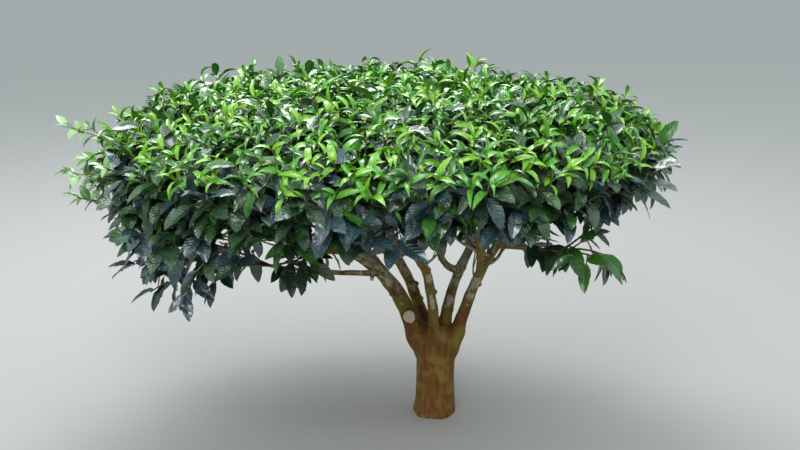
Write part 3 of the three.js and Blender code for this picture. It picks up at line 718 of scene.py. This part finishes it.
def nearest_start(tips, anchors):
    """The anchor that each tip's twig starts from: the nearest one, rather below than above it."""
    chosen = np.empty(len(tips), int)
    for begin in range(0, len(tips), 500):
        gap = tips[begin:begin + 500, None] - anchors[None]
        away = lengths(gap * (1, 1, 0.8)) + 60 * (gap[..., 2] < 0)
        chosen[begin:begin + 500] = np.argmin(away, axis=1)
    return chosen


def twigs_to(tips, ways, fork, thick, thin):
    """Fine twigs that start on the nearest fork and come to their tips along the given ways."""
    anchors = np.concatenate([fork.at(share) for share in (0.45, 0.62, 0.8, 1.0)])
    chosen = nearest_start(tips, anchors)
    start = anchors[chosen]
    reach = lengths(tips - start)[:, None]
    return Twigs(start, tips - 0.6 * reach * ways, tips, thick, thin, fork.mass[chosen % len(fork.start)])


def facing(direction, side):
    """How squarely directions face a side, from -1 to 1."""
    return np.cos(np.radians(direction - side))


def thinned(x, y, rng):
    """Fewer shoots at the open left end of the crown."""
    azimuth, spread = crown_polar(x, y)
    open_end = (np.cos(azimuth - math.radians(OPEN_SIDE)) > OPEN_FACING) & (spread > 0.9)
    return ~(open_end & (rng.uniform(0, 1, len(x)) < OPEN_THINNED))


def table_shoots(fork, rng):
    """Shoots all over the table, that lean outward more and more towards its edge."""
    x, y = staggered(SHOOT_SPACING, 0.95, rng, 0.42 * SHOOT_SPACING)
    kept = thinned(x, y, rng)
    x, y = x[kept], y[kept]
    azimuth, spread = crown_polar(x, y)
    count = len(x)
    clumps = patches(x, y, 70, SEED + 1)
    tall = rng.uniform(0, 1, count) < TALL_SHARE
    high, low = rng.uniform(4, 18, count), 16 + 20 * (1 - clumps) + rng.uniform(0, 26, count)
    outward = heading(np.degrees(azimuth) + rng.normal(0, 14, count), 0)
    astray = heading(rng.uniform(0, 360, count), 0)
    astray = astray * np.tan(np.radians(rng.uniform(0, 26, count)))[:, None]
    ways = unit(UP + np.tan(np.radians(52 * spread**2.4))[:, None] * outward + astray)
    tips = np.stack([x, y, table_height(x, y) - np.where(tall, high, low)], -1)
    return twigs_to(tips, ways, fork, 2.3, 1.1)


def edge_sprays(fork, spacing, reach, depth, rng):
    """Sprays all round the edge, from the lowest leaves up to the table, as far out as `reach`. They
    stand in clumps with hollows between, and the higher ones grow more steeply."""
    tips, ways, share_up = [], [], []
    count = round(math.pi * (HALF_WIDTH + HALF_DEPTH) * reach / spacing)
    for row in range(EDGE_ROWS):
        direction = round_the_rim(count, row, rng.uniform(-0.4, 0.4, count))
        x, y = crown_point(direction, reach)
        low, high = skirt_height(x, y) + EDGE_CLEARANCES[0], table_height(x, y) - EDGE_CLEARANCES[1]
        z = low + (row + rng.uniform(-0.4, 0.4, count)) * spacing * EDGE_ROW_RISE
        share = np.clip((z - low) / (high - low), 0, 1)
        clump = patches(direction * HALF_DEPTH * math.pi / 180, z, 75, SEED + 3)
        kept = (z < high) & thinned(x, y, rng) & (clump + rng.normal(0, 0.25, count) > -0.55)
        fringe = (facing(direction, LOW_SIDE) > LOW_FACING) & (share < FRINGE_HEIGHT)
        scarcity = np.where(fringe, FRINGE_KEPT, 1) * mix(SKIRT_KEPT, 1.4, share)
        kept &= rng.uniform(0, 1, count) < scarcity
        hollow = CLUMP_DEPTH * (1 - clump) * mix(0.7, 1, share)
        taper = EDGE_TAPER * (1 - 0.9 * np.maximum(0, facing(direction, UNTAPERED_SIDE)) ** 2)
        spread = reach - taper * (1 - share) ** 1.6 - hollow - rng.uniform(0, depth, count)
        x, y = crown_point(direction, spread)
        climb = mix(8, 64, share**0.8) + rng.normal(0, 20, count)
        tips.append(np.stack([x, y, z], -1)[kept])
        ways.append(heading(direction + rng.normal(0, 30, count), climb)[kept])
        share_up.append(share[kept])
    return twigs_to(np.concatenate(tips), np.concatenate(ways), fork, 2.2, 1.2), np.concatenate(share_up)


def hidden_sprays(fork, rng):
    """Sprays inside the crown: over its underside, and below the shoots of the table."""
    x, y = staggered(HIDDEN_SPACING, 0.8, rng, 0.4 * HIDDEN_SPACING)
    under = skirt_height(x, y) + 54 + rng.uniform(0, 50, len(x))
    upper = table_height(x, y) - rng.uniform(105, 150, len(x))
    azimuth = np.tile(np.degrees(crown_polar(x, y)[0]), 2) + rng.normal(0, 60, 2 * len(x))
    climb = rng.normal(0, 16, len(azimuth)) + np.repeat([-10, 45], len(x))
    tips = np.stack([np.tile(x, 2), np.tile(y, 2), np.concatenate([under, upper])], -1)
    return twigs_to(tips, heading(azimuth, climb), fork, 2.2, 1.2)


def bare_twigs(rng):
    """Crooked bare twigs that fill the space between the boughs and the leaves."""
    rows = []
    for number, mass in enumerate(MASSES):
        limb = LIMBS[mass.name]
        for _ in range(BARE_TWIGS):
            girth = rng.uniform(2.8, 5.6)
            start = limb.points[int(rng.uniform(0.55, 0.98) * (len(limb.points) - 1))]
            azimuth, climb = rng.uniform(0, 360), rng.uniform(14, 62)
            length = rng.uniform(70, 150)
            crook = heading(azimuth + rng.uniform(-60, 60), climb * rng.uniform(0.1, 1.2))
            bend, tip = start + 0.6 * length * crook, start + length * heading(azimuth, climb)
            rows.append((start, bend, tip, girth, 0.4 * girth, number))
    return twigs_from(rows)


def side_twigs(mains, shares, swing, reach, drop, rng):
    """Twigs that leave others on alternate sides, `swing` degrees from them."""
    groups = []
    for i, share in enumerate(shares):
        count = len(mains.start)
        start, way = mains.at(share), mains.way(share)
        side = (1 if i % 2 else -1) * (swing + rng.normal(0, 10, count))
        out = turned(way, np.broadcast_to(UP, way.shape), side)
        length = (reach * rng.uniform(0.75, 1.2, count))[:, None]
        bend = start + 0.5 * length * out
        groups.append(Twigs(start, bend, start + length * out - drop * length * UP, 2.4, 1.3, mains.mass))
    return gathered_twigs(groups)


def drooping_twigs(rng):
    """The two sprays that hang below the skirt: their stems, main twigs and side twigs."""
    stem_rows, main_twigs, sides = [], [], []
    for name, spray in DROOPING.items():
        owner = MASS_NAMES.index(name)
        limb = LIMBS[name]
        way = tip_way(limb)
        foot = np.array(spray["foot"], float)
        head = foot + 34 * way
        stem_rows.append((foot - 4 * way, foot + 17 * way, head, limb.radii[-1], 3.8, owner))
        rows = []
        for azimuth, share, rise in spray["mains"]:
            reach = spray["reach"] * share * rng.uniform(0.95, 1.12)
            end = head + heading(azimuth, 0) * reach + (0, 0, rise)
            rows.append((head, head + 0.5 * reach * heading(azimuth, 12), end, 3.4, 1.6, owner))
        main_twigs.append(twigs_from(rows))
        sides.append(side_twigs(main_twigs[-1], spray["sides"], 48, spray["side_reach"], 0.25, rng))
        for number, share in enumerate(spray["clothed"]):
            start = limb.points[int(share * (len(limb.points) - 1))]
            side = heading(-75 if number % 2 else 80, rng.uniform(5, 40))
            end = start + rng.uniform(45, 65) * side
            sides.append(twigs_from([(start, mix(start, end, 0.5), end, 2.4, 1.3, owner)]))
    return twigs_from(stem_rows), gathered_twigs(main_twigs), gathered_twigs(sides)


def stray_twigs(rng):
    """Long loose shoots that stand out of the open left end."""
    places = [(direction, height - 20, np.array(tip), 14) for direction, height, tip in STRAY_SHOOTS]
    for _ in range(STRAY_COUNT):
        direction = rng.uniform(160, 202)
        height = mix(570, 700, rng.uniform())
        x, y = crown_point(direction, rng.uniform(0.96, 1.05))
        places.append((direction, height - 25, np.array([x, y, height + rng.uniform(-10, 30)]), 12))
    rows = []
    for direction, height, tip, sag in places:
        start = np.array([*crown_point(direction, 0.72), height])
        rows.append((start, mix(start, tip, 0.5) - (0, 0, sag), tip, 2.4, 1.1, MASS_NAMES.index("left")))
    return twigs_from(rows)


def grow_twigs(rng):
    """Every kind of twig, by name, and how far up the edge each of its sprays stands."""
    stem = stems()
    fork = forks(stem, rng)
    kinds = {"stem": stem, "fork": fork, "shoot": table_shoots(fork, rng)}
    kinds["edge"], share_up = edge_sprays(fork, SPRAY_SPACING, 1.0, 0.08, rng)
    kinds["backing"], _ = edge_sprays(fork, 1.25 * SPRAY_SPACING, 0.87, 0.1, rng)
    kinds["hidden"] = hidden_sprays(fork, rng)
    kinds["stray"] = stray_twigs(rng)
    kinds["stray_side"] = side_twigs(kinds["stray"], (0.62, 0.82), 40, 46, -0.2, rng)
    kinds["droop_stem"], kinds["droop"], kinds["droop_side"] = drooping_twigs(rng)
    kinds["bare"] = bare_twigs(rng)
    kinds["bare_side"] = side_twigs(kinds["bare"], (0.45, 0.78), 50, 58, -0.4, rng)
    return kinds, share_up


# Leaves

Leaves = namedtuple("Leaves", "root along face length width arch fold twist mass tint")


def leaves_on(twigs, back, lean, length, turn, tint, kind, rng, droop):
    """One leaf on each twig, `back` from its tip, leaning from it and turned round it."""
    count = len(twigs.start)
    share = np.clip(1 - (back + rng.uniform(-3, 3, count)) / twigs.length, 0.02, 1)
    root, way = twigs.at(share), twigs.way(share)
    out = turned(sideways(way), way, turn + rng.normal(0, 14, count))
    angle = np.radians(lean + rng.normal(0, 10, count))[:, None]
    sag = droop * rng.uniform(0.3, 1.5, (count, 1)) * UP
    along = unit(np.cos(angle) * way + np.sin(angle) * out - sag)
    face = unit(way + kind.skyward * UP + rng.normal(0, 0.2, (count, 3)))
    face = unit(face - part_along(face, along))
    size = length * rng.uniform(0.78, 1.16, count)
    return Leaves(
        root, along, face, size, size * kind.width * rng.uniform(0.86, 1.12, count),
        kind.arch * rng.uniform(0.55, 1.35, count), kind.fold * rng.uniform(0.5, 1.4, count),
        rng.normal(0, 18, count), twigs.mass, tint,
    )


def gathered(leaves):
    return Leaves(*[np.concatenate(values) for values in zip(*leaves)])


def picked(leaves, which):
    return Leaves(*[values[which] for values in leaves])


def whorls(twigs, rows, tint, kind, rng, droop=0.0):
    """Rows of leaves up every twig, each turned by the golden angle from the last."""
    first_turn = rng.uniform(0, 360, len(twigs.start))
    leaves = []
    for i, (back, lean, length) in enumerate(rows):
        turn = first_turn + GOLDEN_ANGLE * i
        leaves.append(leaves_on(twigs, back, lean, length, turn, tint, kind, rng, droop))
    return gathered(leaves)


def dealt(tints, count, rng):
    """One of several tints for each spray, dealt out by their shares."""
    return rng.choice(len(tints), count, p=np.array(tints) / sum(tints))


def sprayed(twigs, rows, tints, kind, rng, droop=0.0):
    """Whorls of leaves on twigs, whose tints are dealt out by spray."""
    return whorls(twigs, rows, dealt(tints, len(twigs.start), rng), kind, rng, droop)


def flush_leaves(twigs, rng, tints):
    """A bud and sickle-shaped young leaves on every twig, of the first tint where growth is strong."""
    vigour = patches(twigs.tip[:, 0], twigs.tip[:, 1], 90, SEED + 2)
    tint = dealt(tints, len(twigs.start), rng)
    tint = np.where(vigour + rng.normal(0, 0.5, len(tint)) > 0.45, 0, tint)
    buds = whorls(twigs, BUD, tint, BUD_LEAF, rng)
    return gathered([buds, whorls(twigs, FLUSH, tint, SICKLE_LEAF, rng)])


def arched(leaves, share):
    """How far forward and down a leaf has got at shares along it."""
    bend = np.radians(np.maximum(leaves.arch, 1))[:, None]
    reach = leaves.length[:, None] / bend
    return reach * np.sin(bend * share), reach * (1 - np.cos(bend * share))


def kept_leaves(leaves, lowest=None):
    """Leaves clear of the boughs and not below a height, which is the skirt's if none is given."""
    middle = leaves.root + 0.5 * leaves.length[:, None] * leaves.along
    forward, down = arched(leaves, 1.0)
    tips = leaves.root + forward * leaves.along - down * leaves.face
    if lowest is None:
        lowest = skirt_height(tips[:, 0], tips[:, 1]) - 14
    return picked(leaves, ~near_a_limb(middle) & (tips[:, 2] > lowest))


def grow_leaves(kinds, share_up, rng):
    """The young leaves, the old ones that show, and the old ones inside."""
    shoots, edge = kinds["shoot"], kinds["edge"]
    dormant = rng.uniform(0, 1, len(shoots.start)) < DORMANT_SHARE
    flushed = rng.uniform(0, 1, len(share_up)) < mix(0.03, 0.36, share_up**1.5)
    bearers = {
        "shoot": shoots, "dormant": shoots.chosen(dormant), "edge": edge,
        "mature": edge.chosen(~flushed), "low": edge.chosen(share_up < FRINGE_HEIGHT),
    }
    loose = gathered_twigs([kinds["stray"], kinds["stray_side"]])
    hung = gathered_twigs([kinds["droop"], kinds["droop_side"]])
    inside = gathered_twigs([kinds["hidden"], kinds["backing"]])
    young = gathered([
        flush_leaves(shoots.chosen(~dormant), rng, TABLE_FLUSH_TINTS),
        flush_leaves(edge.chosen(flushed), rng, EDGE_FLUSH_TINTS),
        sprayed(loose, STRAY_YOUNG, STRAY_TINTS, STRAY_LEAF, rng),
    ])
    old = gathered([
        sprayed(bearers[name], rows, tints, kind, rng, droop)
        for name, rows, tints, kind, droop in OLD_GROWTH
    ])
    hanging = []
    for name, spray in DROOPING.items():
        own = hung.chosen(hung.mass == MASS_NAMES.index(name))
        rows = DROOPING_OLD[:spray["rows"]]
        hanging.append(sprayed(own, rows, spray["tints"], HANGING_LEAF, rng, 0.7))
    inner = sprayed(inside, HIDDEN_OLD, HIDDEN_TINTS, SKIRT_LEAF, rng, 0.3)
    shown = gathered([kept_leaves(old), kept_leaves(gathered(hanging), LOWEST_HANGING)])
    return kept_leaves(young, LOWEST_YOUNG), shown, kept_leaves(inner)


# A leaf's points as shares along it and across it, its half width there, how far its pleats stand out,
# the phase of its side veins, its faces, and which of these are the rib.
Blade = namedtuple("Blade", "s t outline pleat veins faces rib")


def blade_outline(s, round_base, slender_tip):
    """Half width along a leaf as a share of its greatest, after a short stalk."""
    share = np.clip((s - LEAF_STALK) / (1 - LEAF_STALK), 0, 1)
    widest = round_base / (round_base + slender_tip)
    peak = widest**round_base * (1 - widest) ** slender_tip
    return share**round_base * (1 - share) ** slender_tip / peak + 0.03 * (s < 1)


def blade_grid(rows, columns, round_base, slender_tip, pleat_depth=0):
    """A leaf in rows and columns, with a tooth at every other row. A narrow strip between the two
    middle columns is the rib. Pleats rise between rib and edge and fall at the edge."""
    columns = np.array(columns)
    wide = len(columns)
    s = np.concatenate([[0], np.repeat(np.arange(1, rows) / rows, wide), [1]])
    t = np.concatenate([[0], np.tile(columns, rows - 1), [0]])
    row = np.round(s * rows)
    outline = blade_outline(s, round_base, slender_tip) * (1 + 0.03 * (-1) ** row * (np.abs(t) == 1))
    lift = np.where(np.abs(t) > 0.9, -0.4, 1.0) * (np.abs(t) > 0.2)
    pleat = pleat_depth * np.cos(2 * math.pi * row / PLEAT_ROWS) * lift * outline
    veins = 2 * math.pi * VEIN_PAIRS * (s - VEIN_SLANT * np.abs(t))
    across = np.arange(wide - 1)
    last = 1 + (rows - 2) * wide
    root_fan = np.stack([np.zeros(wide - 1, int), 1 + across + 1, 1 + across], -1)
    tip_fan = np.stack([last + across, last + across + 1, np.full(wide - 1, last + wide)], -1)
    faces = np.concatenate([root_fan, tip_fan, split_quads(1 + grid_quads(rows - 1, wide, False))])
    rib = (t[faces].max(axis=1) < 0.2) & (t[faces].min(axis=1) > -0.2)
    return Blade(s, t, outline, pleat, veins, faces, rib)


OLD_BLADE = blade_grid(9, (-1, -0.5, -0.05, 0.05, 0.5, 1), 0.62, 0.85, PLEAT_DEPTH)
INNER_BLADE = blade_grid(5, (-1, 0, 1), 0.62, 0.85)
YOUNG_BLADE = blade_grid(7, (-1, 0, 1), 0.72, 1.15)


def leaf_points(leaves, blade):
    """Every leaf's points: arched, folded at the rib, twisted and pleated between its veins."""
    s, t = blade.s, blade.t
    forward, down = arched(leaves, s)
    angle = (np.radians(leaves.arch)[:, None] * s)[..., None]
    twist = (np.radians(leaves.twist)[:, None] * s)[..., None]
    side = np.cross(leaves.face, leaves.along)
    upper = np.cos(angle) * leaves.face[:, None] + np.sin(angle) * leaves.along[:, None]
    across = np.cos(twist) * side[:, None] + np.sin(twist) * upper
    half = 0.5 * leaves.width[:, None] * blade.outline
    fold = np.radians(leaves.fold)[:, None]
    raised = half * np.abs(t) * np.sin(fold) + blade.pleat
    middle = leaves.root[:, None] + forward[..., None] * leaves.along[:, None]
    middle = middle - down[..., None] * leaves.face[:, None]
    return middle + (half * t * np.cos(fold))[..., None] * across + raised[..., None] * upper


def leaf_mesh(leaves, blade):
    """Points, faces, material numbers and phases of the side veins of many leaves."""
    points = leaf_points(leaves, blade)
    count, each = points.shape[:2]
    faces = blade.faces[None] + (np.arange(count) * each)[:, None, None]
    tints = np.where(blade.rib[None], RIB, leaves.tint[:, None])
    return points.reshape(-1, 3), faces.reshape(-1, 3), tints.ravel(), np.tile(blade.veins, count)


# Materials

def linear(hex_colour):
    """An sRGB hex colour as linear values."""
    values = [int(hex_colour[i:i + 2], 16) / 255 for i in (1, 3, 5)]
    return [v / 12.92 if v <= 0.04045 else ((v + 0.055) / 1.055) ** 2.4 for v in values] + [1.0]


def fill(node, inputs):
    """Sets a node's values and makes its links. A node given as a value is linked from the first output
    that it has in use."""
    for name, value in inputs.items():
        if isinstance(value, bpy.types.Node):
            value = next(output for output in value.outputs if output.enabled)
        if isinstance(value, bpy.types.NodeSocket):
            node.id_data.links.new(value, node.inputs[name])
        else:
            node.inputs[name].default_value = value


def add(tree, kind, inputs=None, **settings):
    """A node with its settings, its values and its links."""
    node = tree.nodes.new("ShaderNode" + kind)
    for name, value in settings.items():
        setattr(node, name, value)
    fill(node, inputs or {})
    return node


def new_material(name):
    material = bpy.data.materials.new(name)
    material.use_nodes = True
    tree = material.node_tree
    tree.nodes.clear()
    shader = add(tree, "BsdfPrincipled")
    add(tree, "OutputMaterial", {"Surface": shader})
    return material, tree, shader


def living_leaf(name, colour, vein_colour, roughness, blister, depth, quilting, wax):
    """A leaf under its clear wax: a plain green with paler side veins, whose wax takes pale highlights
    from the sky, broken by the quilting between the veins and by finer blisters."""
    material, tree, shader = new_material(name)
    run = add(tree, "Attribute", attribute_name="veins").outputs["Fac"]
    pillows = add(tree, "Math", {0: run}, operation="SINE")
    vein = add(tree, "MapRange", {"Value": pillows, "From Min": -0.6, "From Max": -0.95, "To Max": 0.5})
    greens = {"Factor": vein, "A": linear(colour), "B": linear(vein_colour)}
    green = add(tree, "Mix", greens, data_type="RGBA")
    quilted = add(tree, "Bump", {"Height": pillows, "Distance": quilting * MM})
    place = add(tree, "TexCoord").outputs["Object"]
    cells = add(tree, "TexNoise", {"Vector": place, "Scale": 1 / (blister * MM), "Detail": 2})
    gloss = add(tree, "MapRange", {"Value": cells, "To Min": roughness - 0.07, "To Max": roughness + 0.1})
    blisters = {"Height": cells, "Distance": depth * MM, "Strength": 0.6, "Normal": quilted}
    bump = add(tree, "Bump", blisters)
    fill(shader, {"Base Color": green, "Roughness": gloss, "IOR": 1.5, "Normal": bump})
    fill(shader, {"Coat Weight": wax, "Coat Roughness": 0.2, "Coat IOR": 1.55})
    return material


def twig_bark(name, dark, pale, speck):
    """Bark of thin twigs: green-brown with fine lenticels, or grey with flecks of lichen when old."""
    material, tree, shader = new_material(name)
    place = add(tree, "TexCoord").outputs["Object"]
    specks = add(tree, "TexNoise", {"Vector": place, "Scale": 1 / (speck * MM), "Detail": 3})
    mottle = add(tree, "MapRange", {"Value": specks, "From Min": 0.35, "From Max": 0.62})
    colour = add(tree, "Mix", {"Factor": mottle, "A": linear(dark), "B": linear(pale)}, data_type="RGBA")
    bump = add(tree, "Bump", {"Height": specks, "Distance": 0.3 * MM})
    fill(shader, {"Base Color": colour, "Roughness": 0.7, "Normal": bump})
    return material


def old_bark():
    """Weathered bark: ochre and olive fibres along each limb, rough, with pale lichen above."""
    material, tree, shader = new_material("old_bark")
    grain = add(tree, "Attribute", attribute_name="grain").outputs["Vector"]
    crusted = add(tree, "Attribute", attribute_name="crusted").outputs["Fac"]
    stretched = add(tree, "Mapping", {"Vector": grain, "Scale": (1, 1, 0.16)})
    fibrous = {"Vector": stretched, "Scale": 1 / (7 * MM), "Detail": 6, "Roughness": 0.65}
    fibres = add(tree, "TexNoise", fibrous)
    tones = add(tree, "ValToRGB", {"Fac": fibres})
    ramp = tones.color_ramp
    ramp.elements[0].position, ramp.elements[0].color = 0.3, linear("#543610")
    ramp.elements[1].position, ramp.elements[1].color = 0.72, linear("#8c5c1b")
    ramp.elements.new(0.5).color = linear("#724716")
    stains = add(tree, "TexNoise", {"Vector": grain, "Scale": 1 / (36 * MM), "Detail": 3})
    damp = add(tree, "Math", {0: crusted, 1: 0.2, 2: stains}, operation="MULTIPLY_ADD")
    mossy = add(tree, "MapRange", {"Value": damp, "From Min": 0.47, "From Max": 0.61, "To Max": 0.8})
    olive = add(tree, "Mix", {"Factor": mossy, "A": tones, "B": linear("#847228")}, data_type="RGBA")
    drawn_out = add(tree, "Mapping", {"Vector": grain, "Scale": (1, 1, 0.5)})
    crumbly = {"Vector": drawn_out, "Scale": 1 / (6.5 * MM), "Detail": 5, "Roughness": 0.85}
    grown = add(tree, "Math", {0: add(tree, "TexNoise", crumbly), 1: crusted}, operation="MULTIPLY")
    lichen = add(tree, "MapRange", {"Value": grown, "From Min": 0.385, "From Max": 0.43})
    colour = add(tree, "Mix", {"Factor": lichen, "A": olive, "B": linear("#c2b99d")}, data_type="RGBA")
    rough = add(tree, "Bump", {"Height": fibres, "Distance": 1.2 * MM, "Strength": 0.9})
    raised = add(tree, "Bump", {"Height": lichen, "Distance": 0.8 * MM, "Normal": rough})
    fill(shader, {"Base Color": colour, "Roughness": 0.85, "Normal": raised})
    return material


def cut_wood():
    """The weathered end grain of a pruned limb: pale pinkish grey, matt."""
    material, tree, shader = new_material("cut_wood")
    place = add(tree, "TexCoord").outputs["Object"]
    grain = add(tree, "TexNoise", {"Vector": place, "Scale": 1 / (3 * MM), "Detail": 4})
    greys = {"Factor": grain, "A": linear("#c9ad92"), "B": linear("#f6e6d2")}
    fill(shader, {"Base Color": add(tree, "Mix", greys, data_type="RGBA"), "Roughness": 0.8})
    return material


def pale_floor():
    """Matt studio floor, pale enough to light the underside of the crown."""
    material, _, shader = new_material("pale_floor")
    fill(shader, {"Base Color": linear("#a09f9b"), "Roughness": 0.9})
    return material


BARK = old_bark()
TWIG_BARKS = [
    twig_bark("twig_bark", "#4c4628", "#857a58", 4),
    twig_bark("crusted_twig_bark", "#5d4d2c", "#c4bb9f", 9),
]
CUT_WOOD = cut_wood()
# These young greens are brighter and more vivid than the leaves' own colour. They are partly own colour,
# partly painted light for the glow of light shining through young leaves.
YOUNG_LEAVES = [
    living_leaf("young_leaf_lime", "#70b00a", "#8ec038", 0.31, 4.0, 0.25, 0.2, 0.6),
    living_leaf("young_leaf_bright", "#4a980c", "#68aa34", 0.3, 4.0, 0.25, 0.2, 0.6),
    living_leaf("young_leaf_green", "#2f760e", "#4f8e30", 0.29, 4.0, 0.25, 0.2, 0.7),
    # A young green turned pale mint: painted highlight. It stands in for the sky's sheen on the loose
    # shoots' leaves.
    living_leaf("young_leaf_pale_sheen", "#9cc684", "#b6d6a2", 0.32, 4.0, 0.25, 0.15, 0.6),
]
OLD_LEAVES = [
    living_leaf("old_leaf_fresh", "#2d6616", "#538a3c", 0.32, 6.0, 0.8, 0.35, 0.6),
    living_leaf("old_leaf_green", "#26521b", "#4c7840", 0.29, 6.0, 1.2, 0.45, 0.9),
    living_leaf("old_leaf_deep", "#2b482c", "#4d714c", 0.29, 6.0, 1.2, 0.45, 0.9),
    # Partly the old leaves' own dark blue-green, partly painted reflection: the sky's bluish sheen on
    # their wax is put into the colour.
    living_leaf("old_leaf_blue_sheen", "#2a4148", "#506c74", 0.29, 6.0, 1.2, 0.45, 1.0),
    living_leaf("leaf_rib", "#3c6038", "#3c6038", 0.4, 6.0, 0.2, 0.1, 0.3),
]
RIB = OLD_LEAVES.index(OLD_LEAVES[-1])


# Making the pieces

def place_piece(piece, slot, *nodes):
    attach(piece, "root")
    if nodes:
        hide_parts(*nodes)


def cut_face(middle, way, radius):
    """A cut or broken end, a little hollowed, with its edge turned down into the bark."""
    across = sideways(way)
    other = np.cross(way, across)
    sides = 40
    around = np.arange(sides) * 2 * math.pi / sides
    wobble = 1 + 0.05 * np.sin(3 * around + 1) + 0.03 * np.sin(7 * around)
    spokes = across * np.cos(around)[:, None] + other * np.sin(around)[:, None]
    points = [np.array([middle - 0.6 * way])]
    shares = (0.24, 0.48, 0.72, 0.9, 1.0)
    for share in shares:
        lift = 0.9 * share**3 - 2.2 * (share == 1.0)
        points.append(middle + lift * way + radius * share * wobble[:, None] * spokes)
    here = np.arange(sides)
    fan = np.stack([np.zeros(sides, int), 1 + here, 1 + (here + 1) % sides], -1)
    quads = 1 + grid_quads(len(shares), sides, True)[:, [0, 3, 2, 1]]
    return np.concatenate(points), np.concatenate([fan, split_quads(quads)])


def cut_faces():
    """The pale cut of the pruned limb and the broken ends of the dead twigs."""
    way = heading(STUB_AZIMUTH, STUB_CLIMB)
    faces = [cut_face(np.array(STUB_AT) + (STUB_LENGTH + 1.0) * way, way, STUB_RADIUS + 0.8)]
    for root, way, length, radius in broken_twig_places():
        faces.append(cut_face(root + (length + 0.4) * way, way, radius))
    return mesh_object("pruning_cuts", *joined(faces), [CUT_WOOD])


def twigs_object(name, number, kinds):
    """A piece of all the twigs of one mass."""
    parts = []
    for kind, twigs in kinds.items():
        points, faces = twigs.chosen(twigs.mass == number).tubes(*TUBE_SHAPES.get(kind, PLAIN_TUBE))
        parts.append((points, faces, np.full(len(faces), kind in CRUSTED_KINDS)))
    points, faces, barks = joined(parts)
    return mesh_object(name, points, faces, TWIG_BARKS, barks)


def leaves_object(name, materials, *parts):
    """A piece of many leaves, with the run of their side veins kept for the material."""
    points, faces, tints, veins = joined(parts)
    piece = mesh_object(name, points, faces, materials, tints)
    mark_points(piece.data, "veins", "FLOAT", "value", veins)
    return piece


def make_bush():
    place_piece(bark_skin(), "bark", "trunk", *["bough_" + name for name in LIMBS])
    place_piece(cut_faces(), "bark")
    rng = np.random.default_rng(SEED)
    kinds, share_up = grow_twigs(rng)
    young, old, inner = grow_leaves(kinds, share_up, rng)
    for number, name in enumerate(MASS_NAMES):
        node = "foliage_" + name
        place_piece(twigs_object("twigs_" + name, number, kinds), "bark", node)
        fresh, shown, hidden = [
            leaf_mesh(picked(leaves, leaves.mass == number), blade)
            for leaves, blade in ((young, YOUNG_BLADE), (old, OLD_BLADE), (inner, INNER_BLADE))
        ]
        if len(fresh[0]):
            place_piece(leaves_object("young_leaves_" + name, YOUNG_LEAVES, fresh), "foliage", node)
        place_piece(leaves_object("old_leaves_" + name, OLD_LEAVES, shown, hidden), "foliage", node)


# The stage

def soft_sky():
    """A world that is bright overhead and dim at the horizon, so that waxy leaves catch pale light."""
    world = bpy.data.worlds.new("soft_sky")
    world.use_nodes = True
    tree = world.node_tree
    way = add(tree, "TexCoord").outputs["Generated"]
    height = add(tree, "SeparateXYZ", {"Vector": way}).outputs["Z"]
    brightness = {"Value": height, "From Min": 0.1, "From Max": 0.9, "To Min": 0.24, "To Max": 1.75}
    strength = add(tree, "MapRange", brightness)
    fill(tree.nodes["Background"], {"Color": linear("#dfebf1"), "Strength": strength})
    return world


def make_stage():
    bpy.ops.mesh.primitive_plane_add(size=60)
    floor = bpy.context.object
    floor.name = "floor"
    floor.data.materials.append(pale_floor())
    bpy.context.scene.world = soft_sky()
    for name, at, size, watts in LIGHTS:
        light = bpy.data.lights.new(name, "AREA")
        light.size = size
        light.energy = watts
        lamp = bpy.data.objects.new(name, light)
        lamp.location = at
        aim = Vector(LIGHTS_FACE) - lamp.location
        lamp.rotation_euler = aim.to_track_quat("-Z", "Y").to_euler()
        bpy.context.scene.collection.objects.link(lamp)


def make_camera():
    camera = bpy.data.cameras.new("camera")
    camera.lens = CAMERA_LENS
    camera.sensor_width = 36
    holder = bpy.data.objects.new("camera", camera)
    holder.location = CAMERA_AT
    holder.rotation_euler = (math.radians(90 - CAMERA_PITCH), 0, 0)
    bpy.context.scene.collection.objects.link(holder)
    bpy.context.scene.camera = holder
    bpy.context.scene.view_settings.view_transform = "Standard"


make_bush()
make_stage()
make_camera()
